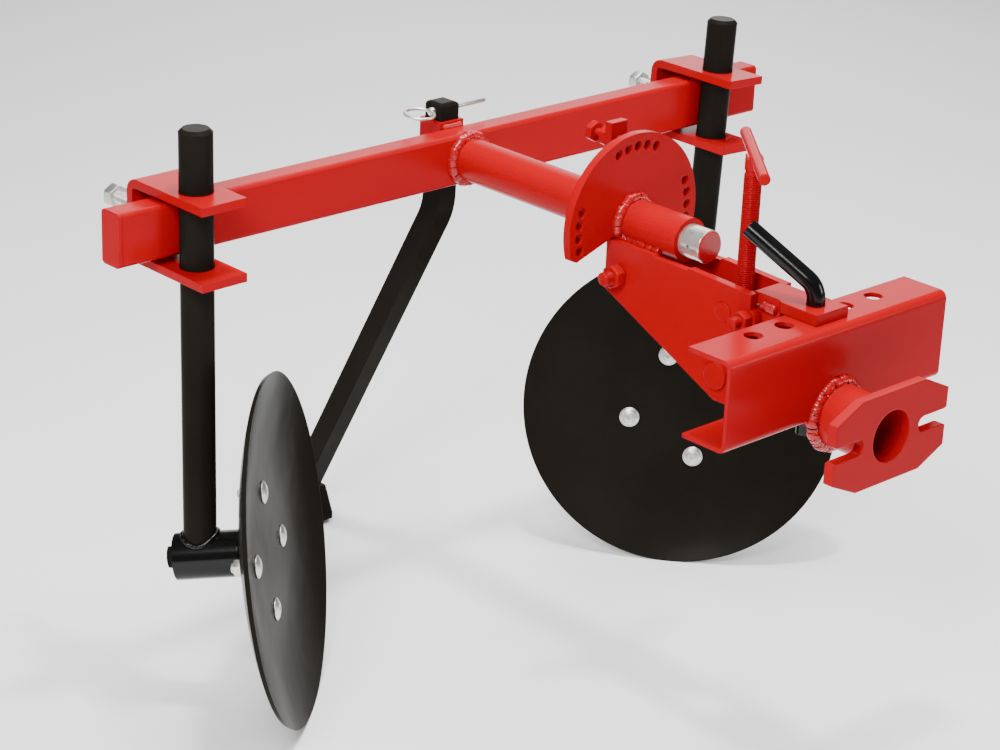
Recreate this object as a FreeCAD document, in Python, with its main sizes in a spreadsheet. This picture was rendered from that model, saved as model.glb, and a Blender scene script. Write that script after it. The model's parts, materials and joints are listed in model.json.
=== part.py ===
"""Disc ridger for a walking tractor: a coupling channel, a swivelling and pitching arm, and a
toolbar that rolls on the arm's shaft and carries two clamped disc shanks and a centre tine.

Every piece is modelled about the roll axis: X runs along the toolbar, -Y points forward to the
coupling, Z is up and the roll axis is the line X = Z = 0. The pieces are then set down so that
the plan centre of the whole machine is at X = Y = 0 and both discs stand on Z = 0.
"""
import FreeCAD, Part
import math
import os
import re
import Sketcher

V = FreeCAD.Vector

SIZES = {
    # toolbar
    "bar_length": 1006, "bar_height": 62, "bar_depth": 32, "bar_wall": 10, "bar_cap": 5,
    "bar_corner": 5,
    # tube and shaft in front of the toolbar
    "neck_diameter": 52, "neck_front": 279, "shaft_diameter": 38, "shaft_front": 407,
    "shaft_socket": 40, "shaft_bore": 24, "shaft_end": 12, "shaft_chamfer": 2,
    "grease_hole": 5, "grease_front": 390,
    # indexing sector, its holes and its bolt
    "sector_front": 290, "sector_thick": 10, "sector_radius": 100, "sector_cut_outer": 33,
    "sector_cut_inner": 11, "sector_cut_width": 87, "index_radius": 85.5, "index_hole": 11,
    "index_step": 10, "index_left": 74, "index_right": 69, "index_bolt": 10, "lug_width": 25, "lug_thick": 10,
    "lug_rear": 250, "lug_top": 106, "index_gap": 25,
    # sleeve on the arm
    "sleeve_diameter": 50, "sleeve_front": 376, "shaft_play": 0.05,
    # arm side plates
    "plate_thick": 10, "plate_inside": 44, "plate_top": 17.5, "plate_slope": 3, "plate_lead": 6,
    "plate_setback": 8, "plate_rear": 281, "plate_rear_foot": 76, "plate_knee_front": 455,
    "plate_foot": 155, "notch_start": 352, "notch_width": 54, "notch_depth": 2.5,
    "nose_radius": 14,
    # pitch pivot, spindle, stop pin and tie bolt
    "pitch_front": 492, "pitch_drop": 50, "pitch_pin": 14, "screw_front": 460,
    "screw_diameter": 20, "screw_top": 117, "screw_chamfer": 1.5, "foot_dome": 20, "foot_flat": 6,
    "nut_drop": 51,
    "trunnion_pin": 22, "trunnion_depth": 28, "trunnion_height": 26, "trunnion_end": 1,
    "handle_length": 169, "handle_diameter": 13, "handle_height": 119, "handle_turn": 41,
    "stop_front": 458, "stop_drop": 125, "stop_pin": 20, "stop_head": 30, "stop_head_thick": 5,
    "tie_front": 302, "tie_drop": 55.5, "tie_bolt": 16, "pin_play": 0.1, "foot_gap": 0.4,
    # swivel head in the channel
    "lug_plate": 12, "swivel_nose": 24, "swivel_half": 25, "swivel_setback": 26,
    "shoulder_slope": 6, "swivel_rear": 493, "post_width": 42, "post_front": 530,
    "post_rear": 502, "post_wall": 4,
    "eye_diameter": 28, "tongue_rear": 440, "tongue_top": 80, "tongue_thick": 12,
    "hinge_front": 560, "hinge_pin": 20, "hinge_tip": 166, "hinge_bend": 25, "hinge_slope": 32,
    "hinge_arm": 96, "hinge_turn": 20, "hinge_play": 0.1, "face_play": 0.3,
    # coupling channel
    "channel_length": 345, "channel_lead": 40, "channel_top": 31.4, "channel_height": 101,
    "channel_depth": 60, "channel_plate": 5, "channel_bend": 9, "hitch_pitch": 48,
    # coupling tube and flange
    "coupling_drop": 130, "coupling_bore": 58, "coupling_tube": 70, "coupling_length": 76,
    "flange_thick": 12, "flange_half_top": 51, "flange_half": 90, "flange_tall": 102,
    "flange_flat": 66, "slot_width": 18, "slot_centre": 53.5, "slot_flare": 2,
    # centre tine
    "tine_side": 28, "tine_top": 59, "tine_knee": 73, "tine_lean": 28.5, "tine_bend": 80,
    "tine_crown": 5, "socket_wall": 4, "socket_play": 0.3, "socket_top": 38, "socket_drop": 34,
    "share_length": 116, "share_width": 50, "share_nose": 9, "nose_width": 22,
    "share_bevel": 14, "share_rise": 1, "share_heel": 34, "share_behind": 52, "heel_bevel": 5,
    "foot_lift": 5, "linch_drop": 11, "linch_rod": 6,
    "linch_start": 19, "linch_length": 87, "linch_ring": 40, "linch_wire": 4,
    # clamps
    "clamp_width": 60, "clamp_plate": 10, "clamp_front": 50, "clamp_rear": 86, "clamp_top": 46,
    "clamp_foot": 50, "clamp_bend": 16, "clamp_bolt": 16, "bolt_reach_left": 150,
    "bolt_reach_right": 134, "inset_left": 88, "inset_right": 99, "lean_left": -0.5,
    "lean_right": 2.6,
    # shanks and hub tubes
    "shank_diameter": 38, "shank_top": 117, "shank_chamfer": 4, "hub_drop": 390, "hub_tube": 54,
    "hub_outer": 27, "hub_inner": 50, "hub_tilt": 8.5, "turn_left": 48.5, "turn_right": 39.5,
    # discs
    "axle_diameter": 25, "axle_stub": 9, "axle_play": 0.08, "disc_reach": 103,
    "disc_diameter": 406, "disc_thick": 6, "disc_depth": 22, "disc_edge": 3, "disc_flat": 172,
    "hub_flange": 168, "hub_flange_thick": 10, "hub_boss": 40, "disc_bolt": 12,
    "disc_bolt_circle": 137, "disc_bolt_head": 26, "disc_bolt_dome": 5, "phase_left": 79,
    "phase_right": 19,
}

doc = FreeCAD.newDocument("disc_ridger")
sheet = doc.addObject("Spreadsheet::Sheet", "sheet")
for row, (alias, value) in enumerate(SIZES.items(), start=1):
    sheet.set("A%d" % row, alias)
    sheet.set("B%d" % row, str(value))
    sheet.setAlias("B%d" % row, alias)
doc.recompute()
size = {alias: float(sheet.get(alias)) for alias in SIZES}
pieces = []
NEAR = 0.1


# ---------------------------------------------------------------- expressions and sketches
def on_sheet(text):
    """Turn the size names in an expression into references to the sheet's cells."""
    return re.sub(r"\b[a-z]+(?:_[a-z]+)+\b", lambda found: "sheet." + found.group(0), str(text))


def bind(thing, prop, text):
    thing.setExpression(prop, on_sheet(text))


def value(text):
    """The number that an expression gives with the sheet's present sizes."""
    return float(sheet.evalExpression(on_sheet(text)))


def new_body(label):
    body = doc.addObject("PartDesign::Body", label)
    body.Label = label
    return body


def new_sketch(body, plane, offset="0"):
    """A sketch on one of the body's origin planes, moved along the plane's normal by offset."""
    found = [f for f in body.Origin.OriginFeatures if f.Role == plane][0]
    sketch = body.newObject("Sketcher::SketchObject", "%s_sketch" % body.Label)
    sketch.AttachmentSupport = (found, [""])
    sketch.MapMode = "FlatFace"
    bind(sketch, "AttachmentOffset.Base.z", offset)
    return sketch


def hold(sketch, kind, *where):
    """Add one dimension whose value, the last item of where, is an expression."""
    index = sketch.addConstraint(Sketcher.Constraint(kind, *where[:-1], value(where[-1])))
    bind(sketch, "Constraints[%d]" % index, where[-1])


def hold_point(sketch, geometry, end, x, y):
    hold(sketch, "DistanceX", -1, 1, geometry, end, x)
    hold(sketch, "DistanceY", -1, 1, geometry, end, y)


def spot(x, y):
    return V(value(x), value(y), 0)


def line(sketch, start, end):
    return sketch.addGeometry(Part.LineSegment(spot(*start), spot(*end)), False)


def arc(sketch, start, end, radius, side):
    """An arc between two points, its centre to the left (side 1) or right (side -1) of them."""
    first, last, reach = spot(*start), spot(*end), value(radius)
    chord = last - first
    across = V(-chord.y, chord.x, 0).normalize() * side
    middle = (first + last) * 0.5
    centre = middle + across * math.sqrt(reach ** 2 - (chord.Length / 2) ** 2)
    top = centre + (middle - centre).normalize() * reach
    index = sketch.addGeometry(Part.Arc(first, top, last), False)
    hold(sketch, "Radius", index, radius)
    return index


def polygon(sketch, points):
    """A closed outline through points whose coordinates are expressions."""
    first = sketch.GeometryCount
    count = len(points)
    for i in range(count):
        line(sketch, points[i], points[(i + 1) % count])
    for i in range(count):
        sketch.addConstraint(Sketcher.Constraint(
            "Coincident", first + i, 2, first + (i + 1) % count, 1))
    for i, (x, y) in enumerate(points):
        hold_point(sketch, first + i, 1, x, y)


def bent_path(sketch, start, first_way, first_length, second_way, second_length, radius):
    """Two straight legs joined by a tangent arc; ways are angles, all given as expressions."""
    def ahead(point, way, length):
        return ("(%s) + (%s) * cos(%s)" % (point[0], length, way),
                "(%s) + (%s) * sin(%s)" % (point[1], length, way))
    turn_by = value("(%s) - (%s)" % (second_way, first_way))
    tangent = "(%s) * abs(tan(((%s) - (%s)) / 2))" % (radius, second_way, first_way)
    knee = ahead(start, first_way, first_length)
    bend_start = ahead(knee, first_way, "-(%s)" % tangent)
    bend_end = ahead(knee, second_way, tangent)
    end = ahead(knee, second_way, second_length)
    line(sketch, start, bend_start)
    curve = sketch.addGeometry(bend_arc(spot(*bend_start), spot(*bend_end), spot(*knee)), False)
    hold(sketch, "Radius", curve, radius)
    line(sketch, bend_end, end)
    ends = (1, 2) if turn_by > 0 else (2, 1)
    sketch.addConstraint(Sketcher.Constraint("Coincident", 0, 2, curve, ends[0]))
    sketch.addConstraint(Sketcher.Constraint("Coincident", 2, 1, curve, ends[1]))
    for index, position, point in ((0, 1, start), (0, 2, bend_start), (2, 1, bend_end), (2, 2, end)):
        hold_point(sketch, index, position, *point)


def bend_arc(start, end, knee):
    """The circular arc from start to end that touches the legs meeting at knee."""
    middle = (start + end) * 0.5
    reach = (start - knee).Length
    half = (end - start).Length / 2
    axis = (middle - knee).normalize()
    centre = knee + axis * (reach ** 2 / math.sqrt(reach ** 2 - half ** 2))
    radius = (start - centre).Length
    return Part.Arc(start, centre - axis * radius, end)


def hold_points(sketch, points):
    """Join a closed chain of edges end to end and hold each of its corners."""
    count = len(points)
    ends = []
    for i in range(count):
        begins = sketch.getPoint(i, 1).distanceToPoint(spot(*points[i])) < 1e-3
        ends.append((1, 2) if begins else (2, 1))
    for i in range(count):
        after = (i + 1) % count
        sketch.addConstraint(Sketcher.Constraint("Coincident", i, ends[i][1], after, ends[after][0]))
    for i, point in enumerate(points):
        hold_point(sketch, i, ends[i][0], *point)


def circle(sketch, diameter, x="0", y="0"):
    index = sketch.addGeometry(Part.Circle(spot(x, y), V(0, 0, 1), value(diameter) / 2), False)
    hold(sketch, "Diameter", index, diameter)
    hold_point(sketch, index, 3, x, y)


def pad(body, sketch, length, midplane=False, reverse=False):
    feature = body.newObject("PartDesign::Pad", body.Label + "_pad")
    feature.Profile = sketch
    bind(feature, "Length", length)
    feature.Midplane = midplane
    feature.Reversed = reverse
    doc.recompute()
    return feature


def cut_through(body, sketch, length="2000"):
    """Cut a sketch's outlines right through the body, to both sides of the sketch."""
    feature = body.newObject("PartDesign::Pocket", body.Label + "_cut")
    feature.Profile = sketch
    feature.Midplane = True
    bind(feature, "Length", length)
    doc.recompute()
    return feature


def turn(body, sketch, axis):
    feature = body.newObject("PartDesign::Revolution", body.Label + "_turned")
    feature.Profile = sketch
    feature.ReferenceAxis = (sketch, [axis])
    feature.Angle = 360
    doc.recompute()
    return feature


def turn_about(body, sketch, first, second):
    """Turn a sketch about the construction line through two points."""
    index = sketch.addGeometry(Part.LineSegment(spot(*first), spot(*second)), True)
    hold_point(sketch, index, 1, *first)
    hold_point(sketch, index, 2, *second)
    doc.recompute()
    return turn(body, sketch, "Axis0")


def pipe(body, section, path):
    """Sweep a section along a path of two legs and the arc between them."""
    doc.recompute()
    feature = body.newObject("PartDesign::AdditivePipe", body.Label + "_pipe")
    feature.Profile = section
    feature.Spine = (path, ["Edge1", "Edge2", "Edge3"])
    doc.recompute()
    return feature


def edges_of(shape, keep):
    """The names of the straight edges whose middle and direction satisfy keep."""
    names = []
    for i, edge in enumerate(shape.Edges, start=1):
        if isinstance(edge.Curve, Part.Line):
            middle = edge.valueAt((edge.FirstParameter + edge.LastParameter) / 2)
            if keep(middle, edge.tangentAt(edge.FirstParameter)):
                names.append("Edge%d" % i)
    return names


def fillet(body, radius, keep):
    base = body.Tip
    feature = body.newObject("PartDesign::Fillet", body.Label + "_fillet")
    feature.Base = (base, edges_of(base.Shape, keep))
    bind(feature, "Radius", radius)
    doc.recompute()
    return feature


# ---------------------------------------------------------------- where the machine stands
def work_out(alias, number):
    """Put a size that follows from the others on the sheet."""
    row = len(SIZES) + len(worked_out) + 1
    worked_out[alias] = number
    sheet.set("A%d" % row, alias)
    sheet.set("B%d" % row, "%.6f" % number)
    sheet.setAlias("B%d" % row, alias)
    return number


def hub_direction(turn_angle):
    """The unit vector of a hub axis, from its shank towards the hollow face of the disc."""
    tilt = math.radians(size["hub_tilt"])
    angle = math.radians(turn_angle)
    return V(math.cos(tilt) * math.cos(angle), math.cos(tilt) * math.sin(angle), math.sin(tilt))


def lowest_of_disc(place):
    """The height of the rim's lowest point under the roll axis, for one shank's placement."""
    axis = place.Rotation.multVec(hub_direction(0))
    centre = place.multVec(V(0, 0, -size["hub_drop"]) + hub_direction(0) * size["disc_reach"])
    return centre.z - size["disc_diameter"] / 2 * math.sqrt(1 - axis.z ** 2)


def shank_place(side, slide=0.0):
    """The placement of a shank's own frame: its axis at the front face of the toolbar."""
    forward = -(size["bar_depth"] / 2 + size["shank_diameter"] / 2 + size["face_play"])
    out = size["bar_length"] / 2 - size["inset_" + side]
    lean = FreeCAD.Rotation(V(0, 1, 0), size["lean_" + side])
    lift = lean.multVec(V(0, 0, slide))
    if side == "left":
        turned = FreeCAD.Rotation(V(0, 0, 1), -size["turn_left"])
        return FreeCAD.Placement(V(-out, forward, 0) + lift, lean.multiply(turned))
    turned = FreeCAD.Rotation(V(0, 0, 1), 180 + size["turn_right"])
    return FreeCAD.Placement(V(out, forward, 0) + lift, lean.multiply(turned))


def clamp_place(side):
    """A clamp is square to the toolbar and leans with its shank."""
    lean = FreeCAD.Rotation(V(0, 1, 0), size["lean_" + side])
    return FreeCAD.Placement(shank_place(side).Base, lean)


worked_out = {}
ground = lowest_of_disc(shank_place("left"))
slide_right = (ground - lowest_of_disc(shank_place("right"))) / math.cos(
    math.radians(size["lean_right"]))
tine_centre = size["bar_depth"] / 2 + size["socket_wall"] + size["socket_play"] + size["tine_side"] / 2
lean_back = math.radians(size["tine_lean"])
share_seat = work_out("share_seat", ground + size["foot_lift"] + size["share_heel"])
foot_back = work_out("foot_back", (-share_seat - size["tine_knee"]) * math.tan(lean_back))
work_out("leg_length", (-share_seat - size["tine_knee"]) / math.cos(lean_back) + size["tine_side"])
share_back = (tine_centre + foot_back + size["tine_side"] / 2 / math.cos(lean_back)
              + size["share_behind"])
flange_face = size["hinge_front"] + size["channel_lead"] + size["coupling_length"]
centre_of_plan = (share_back - flange_face) / 2
SET_DOWN = FreeCAD.Placement(V(0, -centre_of_plan, -ground), FreeCAD.Rotation())
doc.recompute()


def finish(thing, place=None):
    """Set a finished piece down in the machine and note it for the export."""
    thing.Placement = SET_DOWN.multiply(place or FreeCAD.Placement())
    pieces.append(thing)
    return thing


# ---------------------------------------------------------------- plain forms
def rod(label, diameter, start, end, axis="Y", chamfer=None):
    """A round bar along one axis, from start to end, with an optional chamfer at both ends."""
    body = new_body(label)
    plane = {"X": "XZ_Plane", "Y": "YZ_Plane", "Z": "XZ_Plane"}[axis]
    sketch = new_sketch(body, plane)
    radius = "(%s) / 2" % diameter
    cut = chamfer or "0"
    if chamfer:
        outline = [(start, "0"), (start, "%s - %s" % (radius, cut)),
                   ("%s + %s" % (start, cut), radius), ("%s - %s" % (end, cut), radius),
                   (end, "%s - %s" % (radius, cut)), (end, "0")]
    else:
        outline = [(start, "0"), (start, radius), (end, radius), (end, "0")]
    if axis == "Z":
        outline = [(y, x) for x, y in outline]
    polygon(sketch, outline)
    turn(body, sketch, "V_Axis" if axis == "Z" else "H_Axis")
    return body


def tube(label, outer, inner, start, end, axis="Y"):
    body = new_body(label)
    sketch = new_sketch(body, {"X": "XZ_Plane", "Y": "YZ_Plane", "Z": "XZ_Plane"}[axis])
    outline = [(start, "(%s) / 2" % inner), (start, "(%s) / 2" % outer),
               (end, "(%s) / 2" % outer), (end, "(%s) / 2" % inner)]
    if axis == "Z":
        outline = [(y, x) for x, y in outline]
    polygon(sketch, outline)
    turn(body, sketch, "V_Axis" if axis == "Z" else "H_Axis")
    return body


def hexagon(sketch, across, x="0", y="0"):
    """A regular hexagon given by its width across flats."""
    points = []
    for i in range(6):
        angle = 30 + 60 * i
        points.append(("%s + (%s) / 1.7320508 * cos(%d)" % (x, across, angle),
                       "%s + (%s) / 1.7320508 * sin(%d)" % (y, across, angle)))
    polygon(sketch, points)


def bolt(label, thread, length, head_across, head_thick, nut_at=None, nut_thick=None):
    """A hexagon bolt along local Z, its head above Z = 0 and its shank below, with its nut."""
    body = new_body(label)
    head = new_sketch(body, "XY_Plane")
    hexagon(head, head_across)
    pad(body, head, head_thick)
    stem = new_sketch(body, "XY_Plane")
    circle(stem, thread)
    pad(body, stem, length, reverse=True)
    if nut_at:
        nut = new_sketch(body, "XY_Plane", "-(%s)" % nut_at)
        hexagon(nut, head_across)
        pad(body, nut, nut_thick, reverse=True)
    return body


# ---------------------------------------------------------------- coupling channel
def coupling_channel():
    body = new_body("coupling_channel")
    front = "-(hinge_front + channel_lead)"
    back = front + " + channel_depth"
    low = "-(channel_top + channel_height)"
    section = new_sketch(body, "YZ_Plane")
    polygon(section, [
        (front, "-channel_top"), (back, "-channel_top"),
        (back, "-channel_top - channel_plate"),
        (front + " + channel_plate", "-channel_top - channel_plate"),
        (front + " + channel_plate", low + " + channel_plate"),
        (back, low + " + channel_plate"), (back, low), (front, low)])
    pad(body, section, "channel_length", midplane=True)
    outer = value(front)
    fillet(body, "channel_bend", lambda at, way: abs(way.x) > 0.9 and abs(at.y - outer) < NEAR)
    inner = value(front + " + channel_plate")
    fillet(body, "channel_bend - channel_plate",
           lambda at, way: abs(way.x) > 0.9 and abs(at.y - inner) < NEAR)
    holes = new_sketch(body, "XY_Plane")
    for i in range(-2, 3):
        circle(holes, "hinge_pin + 2 * hinge_play", "%d * hitch_pitch" % i, "-hinge_front")
    cut_through(body, holes)
    return finish(body)


def coupling_tube():
    body = tube("coupling_tube", "coupling_tube", "coupling_bore",
                "-(hinge_front + channel_lead + coupling_length - flange_thick)",
                "-(hinge_front + channel_lead)")
    place = FreeCAD.Placement(V(0, 0, -size["coupling_drop"]), FreeCAD.Rotation())
    return finish(body, place)


def coupling_flange():
    """The six-sided mounting flange with its bore and two slots that open sideways."""
    body = new_body("coupling_flange")
    face = "hinge_front + channel_lead + coupling_length"
    outline = new_sketch(body, "XZ_Plane", face + " - flange_thick")
    slot, mouth = "slot_width / 2", "slot_width / 2 + slot_flare"
    polygon(outline, [
        ("-flange_half_top", "flange_tall / 2"), ("flange_half_top", "flange_tall / 2"),
        ("flange_half", "flange_flat / 2"), ("flange_half", "-flange_flat / 2"),
        ("flange_half_top", "-flange_tall / 2"), ("-flange_half_top", "-flange_tall / 2"),
        ("-flange_half", "-flange_flat / 2"), ("-flange_half", "flange_flat / 2")])
    pad(body, outline, "flange_thick")
    bore = new_sketch(body, "XZ_Plane", face)
    circle(bore, "coupling_bore")
    for side in ("-", ""):
        circle(bore, "slot_width", side + "slot_centre", "0")
    cut_through(body, bore)
    for side in ("-", ""):
        notch = new_sketch(body, "XZ_Plane", face)
        polygon(notch, [
            (side + "slot_centre", slot), (side + "(flange_half - 2 * slot_flare)", slot),
            (side + "(flange_half + slot_flare)", mouth),
            (side + "(flange_half + slot_flare)", "-(%s)" % mouth),
            (side + "(flange_half - 2 * slot_flare)", "-(%s)" % slot),
            (side + "slot_centre", "-(%s)" % slot)])
        cut_through(body, notch)
    place = FreeCAD.Placement(V(0, 0, -size["coupling_drop"]), FreeCAD.Rotation())
    return finish(body, place)


# ---------------------------------------------------------------- swivel head
def swivel_lug(label, top, rear):
    """A lug plate that laps over one flange of the channel and takes the hinge pin."""
    body = new_body(label)
    outline = new_sketch(body, "XY_Plane", top)
    shoulder = "-hinge_front + swivel_setback"
    polygon(outline, [
        ("-swivel_half", "-hinge_front - swivel_nose"),
        ("swivel_half", "-hinge_front - swivel_nose"), ("swivel_half", shoulder),
        ("post_width / 2", shoulder + " + shoulder_slope"),
        ("post_width / 2", "-(%s)" % rear), ("-post_width / 2", "-(%s)" % rear),
        ("-post_width / 2", shoulder + " + shoulder_slope"), ("-swivel_half", shoulder)])
    pad(body, outline, "lug_plate", reverse=True)
    hole = new_sketch(body, "XY_Plane", top)
    circle(hole, "hinge_pin + 2 * hinge_play", "0", "-hinge_front")
    cut_through(body, hole)
    return finish(body)


def swivel_post():
    """The hollow post between the two lugs, its back hollowed for the pitch eye."""
    body = new_body("swivel_post")
    low = "-(channel_top + channel_height + face_play)"
    for inset, action in (("0", "pad"), ("post_wall", "cut")):
        section = new_sketch(body, "XY_Plane", low)
        half = "(post_width / 2 - %s)" % inset
        front, rear = "-post_front + %s" % inset, "-post_rear - %s" % inset
        polygon(section, [("-" + half, front), (half, front), (half, rear), ("-" + half, rear)])
        if action == "pad":
            pad(body, section, "channel_height + 2 * face_play")
        else:
            cut_through(body, section)
    saddle = new_sketch(body, "YZ_Plane")
    circle(saddle, "eye_diameter", "-pitch_front", "-pitch_drop")
    cut_through(body, saddle, "2 * post_width")
    return finish(body)


def pitch_eye():
    body = tube("pitch_eye", "eye_diameter", "pitch_pin + 2 * pin_play", "-post_width / 2",
                "post_width / 2", axis="X")
    place = FreeCAD.Placement(V(0, -size["pitch_front"], -size["pitch_drop"]), FreeCAD.Rotation())
    return finish(body, place)


def tongue():
    """The plate behind the post that the foot of the spindle stands on."""
    body = new_body("tongue")
    outline = new_sketch(body, "YZ_Plane")
    polygon(outline, [
        ("-post_rear", "-tongue_top"), ("-tongue_rear", "-tongue_top"),
        ("-tongue_rear", "-tongue_top - tongue_thick"),
        ("-post_rear + tongue_thick", "-tongue_top - tongue_thick"),
        ("-post_rear", "-tongue_top - 2 * tongue_thick")])
    pad(body, outline, "post_width", midplane=True)
    return finish(body)


def hinge_pin():
    """The bent pin: a vertical leg through both lugs and a handle that slopes up and back."""
    body = new_body("hinge_pin")
    path = new_sketch(body, "XZ_Plane")
    bent_path(path, ("0", "-hinge_tip"), "90", "hinge_tip", "hinge_slope", "hinge_arm", "hinge_bend")
    section = new_sketch(body, "XY_Plane", "-hinge_tip")
    circle(section, "hinge_pin")
    pipe(body, section, path)
    turned = FreeCAD.Rotation(V(0, 0, 1), 90 + size["hinge_turn"])
    return finish(body, FreeCAD.Placement(V(0, -size["hinge_front"], 0), turned))


# ---------------------------------------------------------------- arm
def side_plate(label, side):
    """A side plate of the arm: relieved under the shaft and rounded about the pitch pin."""
    body = new_body(label)
    inner = "%s * plate_inside / 2" % side
    outline = new_sketch(body, "YZ_Plane", inner)
    polygon(outline, [
        ("-plate_rear", "-plate_top"), ("-plate_rear", "-plate_rear_foot"),
        ("-plate_knee_front", "-plate_foot"), ("-pitch_front + plate_setback", "-plate_foot"),
        ("-pitch_front + plate_setback", "-pitch_drop - nose_radius"),
        ("-pitch_front - plate_lead", "-pitch_drop"),
        ("-pitch_front - plate_lead", "-plate_top - plate_slope"),
        ("-notch_start - notch_width", "-plate_top"),
        ("-notch_start - notch_width + notch_depth", "-plate_top - notch_depth"),
        ("-notch_start - notch_depth", "-plate_top - notch_depth"),
        ("-notch_start", "-plate_top")])
    pad(body, outline, "plate_thick", reverse=(side < 0))
    nose = new_sketch(body, "YZ_Plane", inner)
    circle(nose, "2 * nose_radius", "-pitch_front", "-pitch_drop")
    pad(body, nose, "plate_thick", reverse=(side < 0))
    holes = new_sketch(body, "YZ_Plane", inner)
    circle(holes, "pitch_pin + 2 * pin_play", "-pitch_front", "-pitch_drop")
    circle(holes, "trunnion_pin + 2 * pin_play", "-screw_front", "-nut_drop")
    circle(holes, "stop_pin", "-stop_front", "-stop_drop")
    circle(holes, "tie_bolt", "-tie_front", "-tie_drop")
    cut_through(body, holes, "4 * plate_thick")
    return finish(body)


def index_sector():
    """The round plate with its foot cut off and three rows of indexing holes."""
    body = new_body("index_sector")
    rim = new_sketch(body, "XZ_Plane", "sector_front - sector_thick")
    circle(rim, "2 * sector_radius")
    pad(body, rim, "sector_thick")
    foot = new_sketch(body, "XZ_Plane", "sector_front - sector_thick / 2")
    far, rise = "sector_radius + sector_thick", "-sector_cut_outer + sector_thick"
    polygon(foot, [
        ("-(%s)" % far, rise), ("-sector_cut_width", "-sector_cut_outer"),
        ("-plate_inside / 2", "-sector_cut_inner"), ("-plate_inside / 2", "-sleeve_diameter / 2"),
        ("plate_inside / 2", "-sleeve_diameter / 2"), ("plate_inside / 2", "-sector_cut_inner"),
        ("sector_cut_width", "-sector_cut_outer"),
        (far, rise), (far, "-(%s)" % far), ("-(%s)" % far, "-(%s)" % far)])
    cut_through(body, foot, "4 * sector_thick")
    holes = new_sketch(body, "XZ_Plane", "sector_front - sector_thick / 2")
    circle(holes, "shaft_diameter + 2 * shaft_play")
    for i in range(-2, 3):
        circle(holes, "index_hole", "index_radius * sin(%d * index_step)" % i,
               "index_radius * cos(%d * index_step)" % i)
    for sign, side in (("-", "left"), ("", "right")):
        for i in range(4):
            angle = "index_%s + %d * index_step" % (side, i)
            circle(holes, "index_hole", "%sindex_radius * sin(%s)" % (sign, angle),
                   "index_radius * cos(%s)" % angle)
    cut_through(body, holes, "4 * sector_thick")
    return finish(body)


def trunnion():
    """The threaded block that carries the spindle, with a round end in each side plate."""
    body = new_body("spindle_nut")
    block = new_sketch(body, "YZ_Plane")
    polygon(block, [
        ("-trunnion_depth / 2", "-trunnion_height / 2"), ("trunnion_depth / 2", "-trunnion_height / 2"),
        ("trunnion_depth / 2", "trunnion_height / 2"), ("-trunnion_depth / 2", "trunnion_height / 2")])
    pad(body, block, "plate_inside - 2 * trunnion_end", midplane=True)
    ends = new_sketch(body, "YZ_Plane")
    circle(ends, "trunnion_pin")
    pad(body, ends, "plate_inside + 2 * plate_thick + 2 * trunnion_end", midplane=True)
    thread = new_sketch(body, "XY_Plane")
    circle(thread, "screw_diameter + 2 * pin_play")
    cut_through(body, thread)
    return finish(body, FreeCAD.Placement(V(0, -size["screw_front"], -size["nut_drop"]),
                                          FreeCAD.Rotation()))


def cross_bolt(label, front, drop, thread):
    """A bolt across both side plates, its head to the right and its nut to the left."""
    across, head = "1.5 * %s" % thread, "0.65 * %s" % thread
    grip = "plate_inside + 2 * plate_thick"
    body = bolt(label, thread, "%s + 1.6 * %s" % (grip, thread), across, head, grip,
                "0.85 * %s" % thread)
    place = FreeCAD.Placement(V(size["plate_inside"] / 2 + size["plate_thick"], -front, -drop),
                              FreeCAD.Rotation(V(0, 1, 0), 90))
    return finish(body, place)


def stop_pin():
    body = new_body("stop_pin")
    half = "plate_inside / 2 + plate_thick"
    sketch = new_sketch(body, "XZ_Plane")
    edge = half + " + stop_head_thick"
    polygon(sketch, [
        ("-(%s)" % edge, "0"), ("-(%s)" % edge, "stop_head / 2"), ("-(%s)" % half, "stop_head / 2"),
        ("-(%s)" % half, "stop_pin / 2"), (half, "stop_pin / 2"), (half, "stop_head / 2"),
        (edge, "stop_head / 2"), (edge, "0")])
    turn(body, sketch, "H_Axis")
    place = FreeCAD.Placement(V(0, -size["stop_front"], -size["stop_drop"]), FreeCAD.Rotation())
    return finish(body, place)


# ---------------------------------------------------------------- spindle
def spindle():
    """The screw: a domed foot that rolls on the tongue, and the handle's hole near the top."""
    body = new_body("spindle_screw")
    profile = new_sketch(body, "XZ_Plane")
    half, foot = "screw_diameter / 2", "foot_gap - tongue_top"
    rise = "%s + sqrt(foot_dome^2 - foot_flat^2 / 4) - sqrt(foot_dome^2 - screw_diameter^2 / 4)"
    points = [("foot_flat / 2", foot), (half, rise % foot), (half, "screw_top - screw_chamfer"),
              (half + " - screw_chamfer", "screw_top"), ("0", "screw_top"), ("0", foot)]
    arc(profile, points[0], points[1], "foot_dome", 1)
    for i in range(1, len(points)):
        line(profile, points[i], points[(i + 1) % len(points)])
    hold_points(profile, points)
    turn(body, profile, "V_Axis")
    hole = new_sketch(body, "XZ_Plane")
    circle(hole, "handle_diameter", "0", "handle_height")
    cut_through(body, hole)
    place = FreeCAD.Placement(V(0, -size["screw_front"], 0),
                              FreeCAD.Rotation(V(0, 0, 1), -size["handle_turn"]))
    return finish(body, place)


def spindle_handle():
    body = rod("spindle_handle", "handle_diameter", "-handle_length / 2", "handle_length / 2",
               axis="Y", chamfer="screw_chamfer")
    place = FreeCAD.Placement(V(0, -size["screw_front"], size["handle_height"]),
                              FreeCAD.Rotation(V(0, 0, 1), -size["handle_turn"]))
    return finish(body, place)


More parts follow.
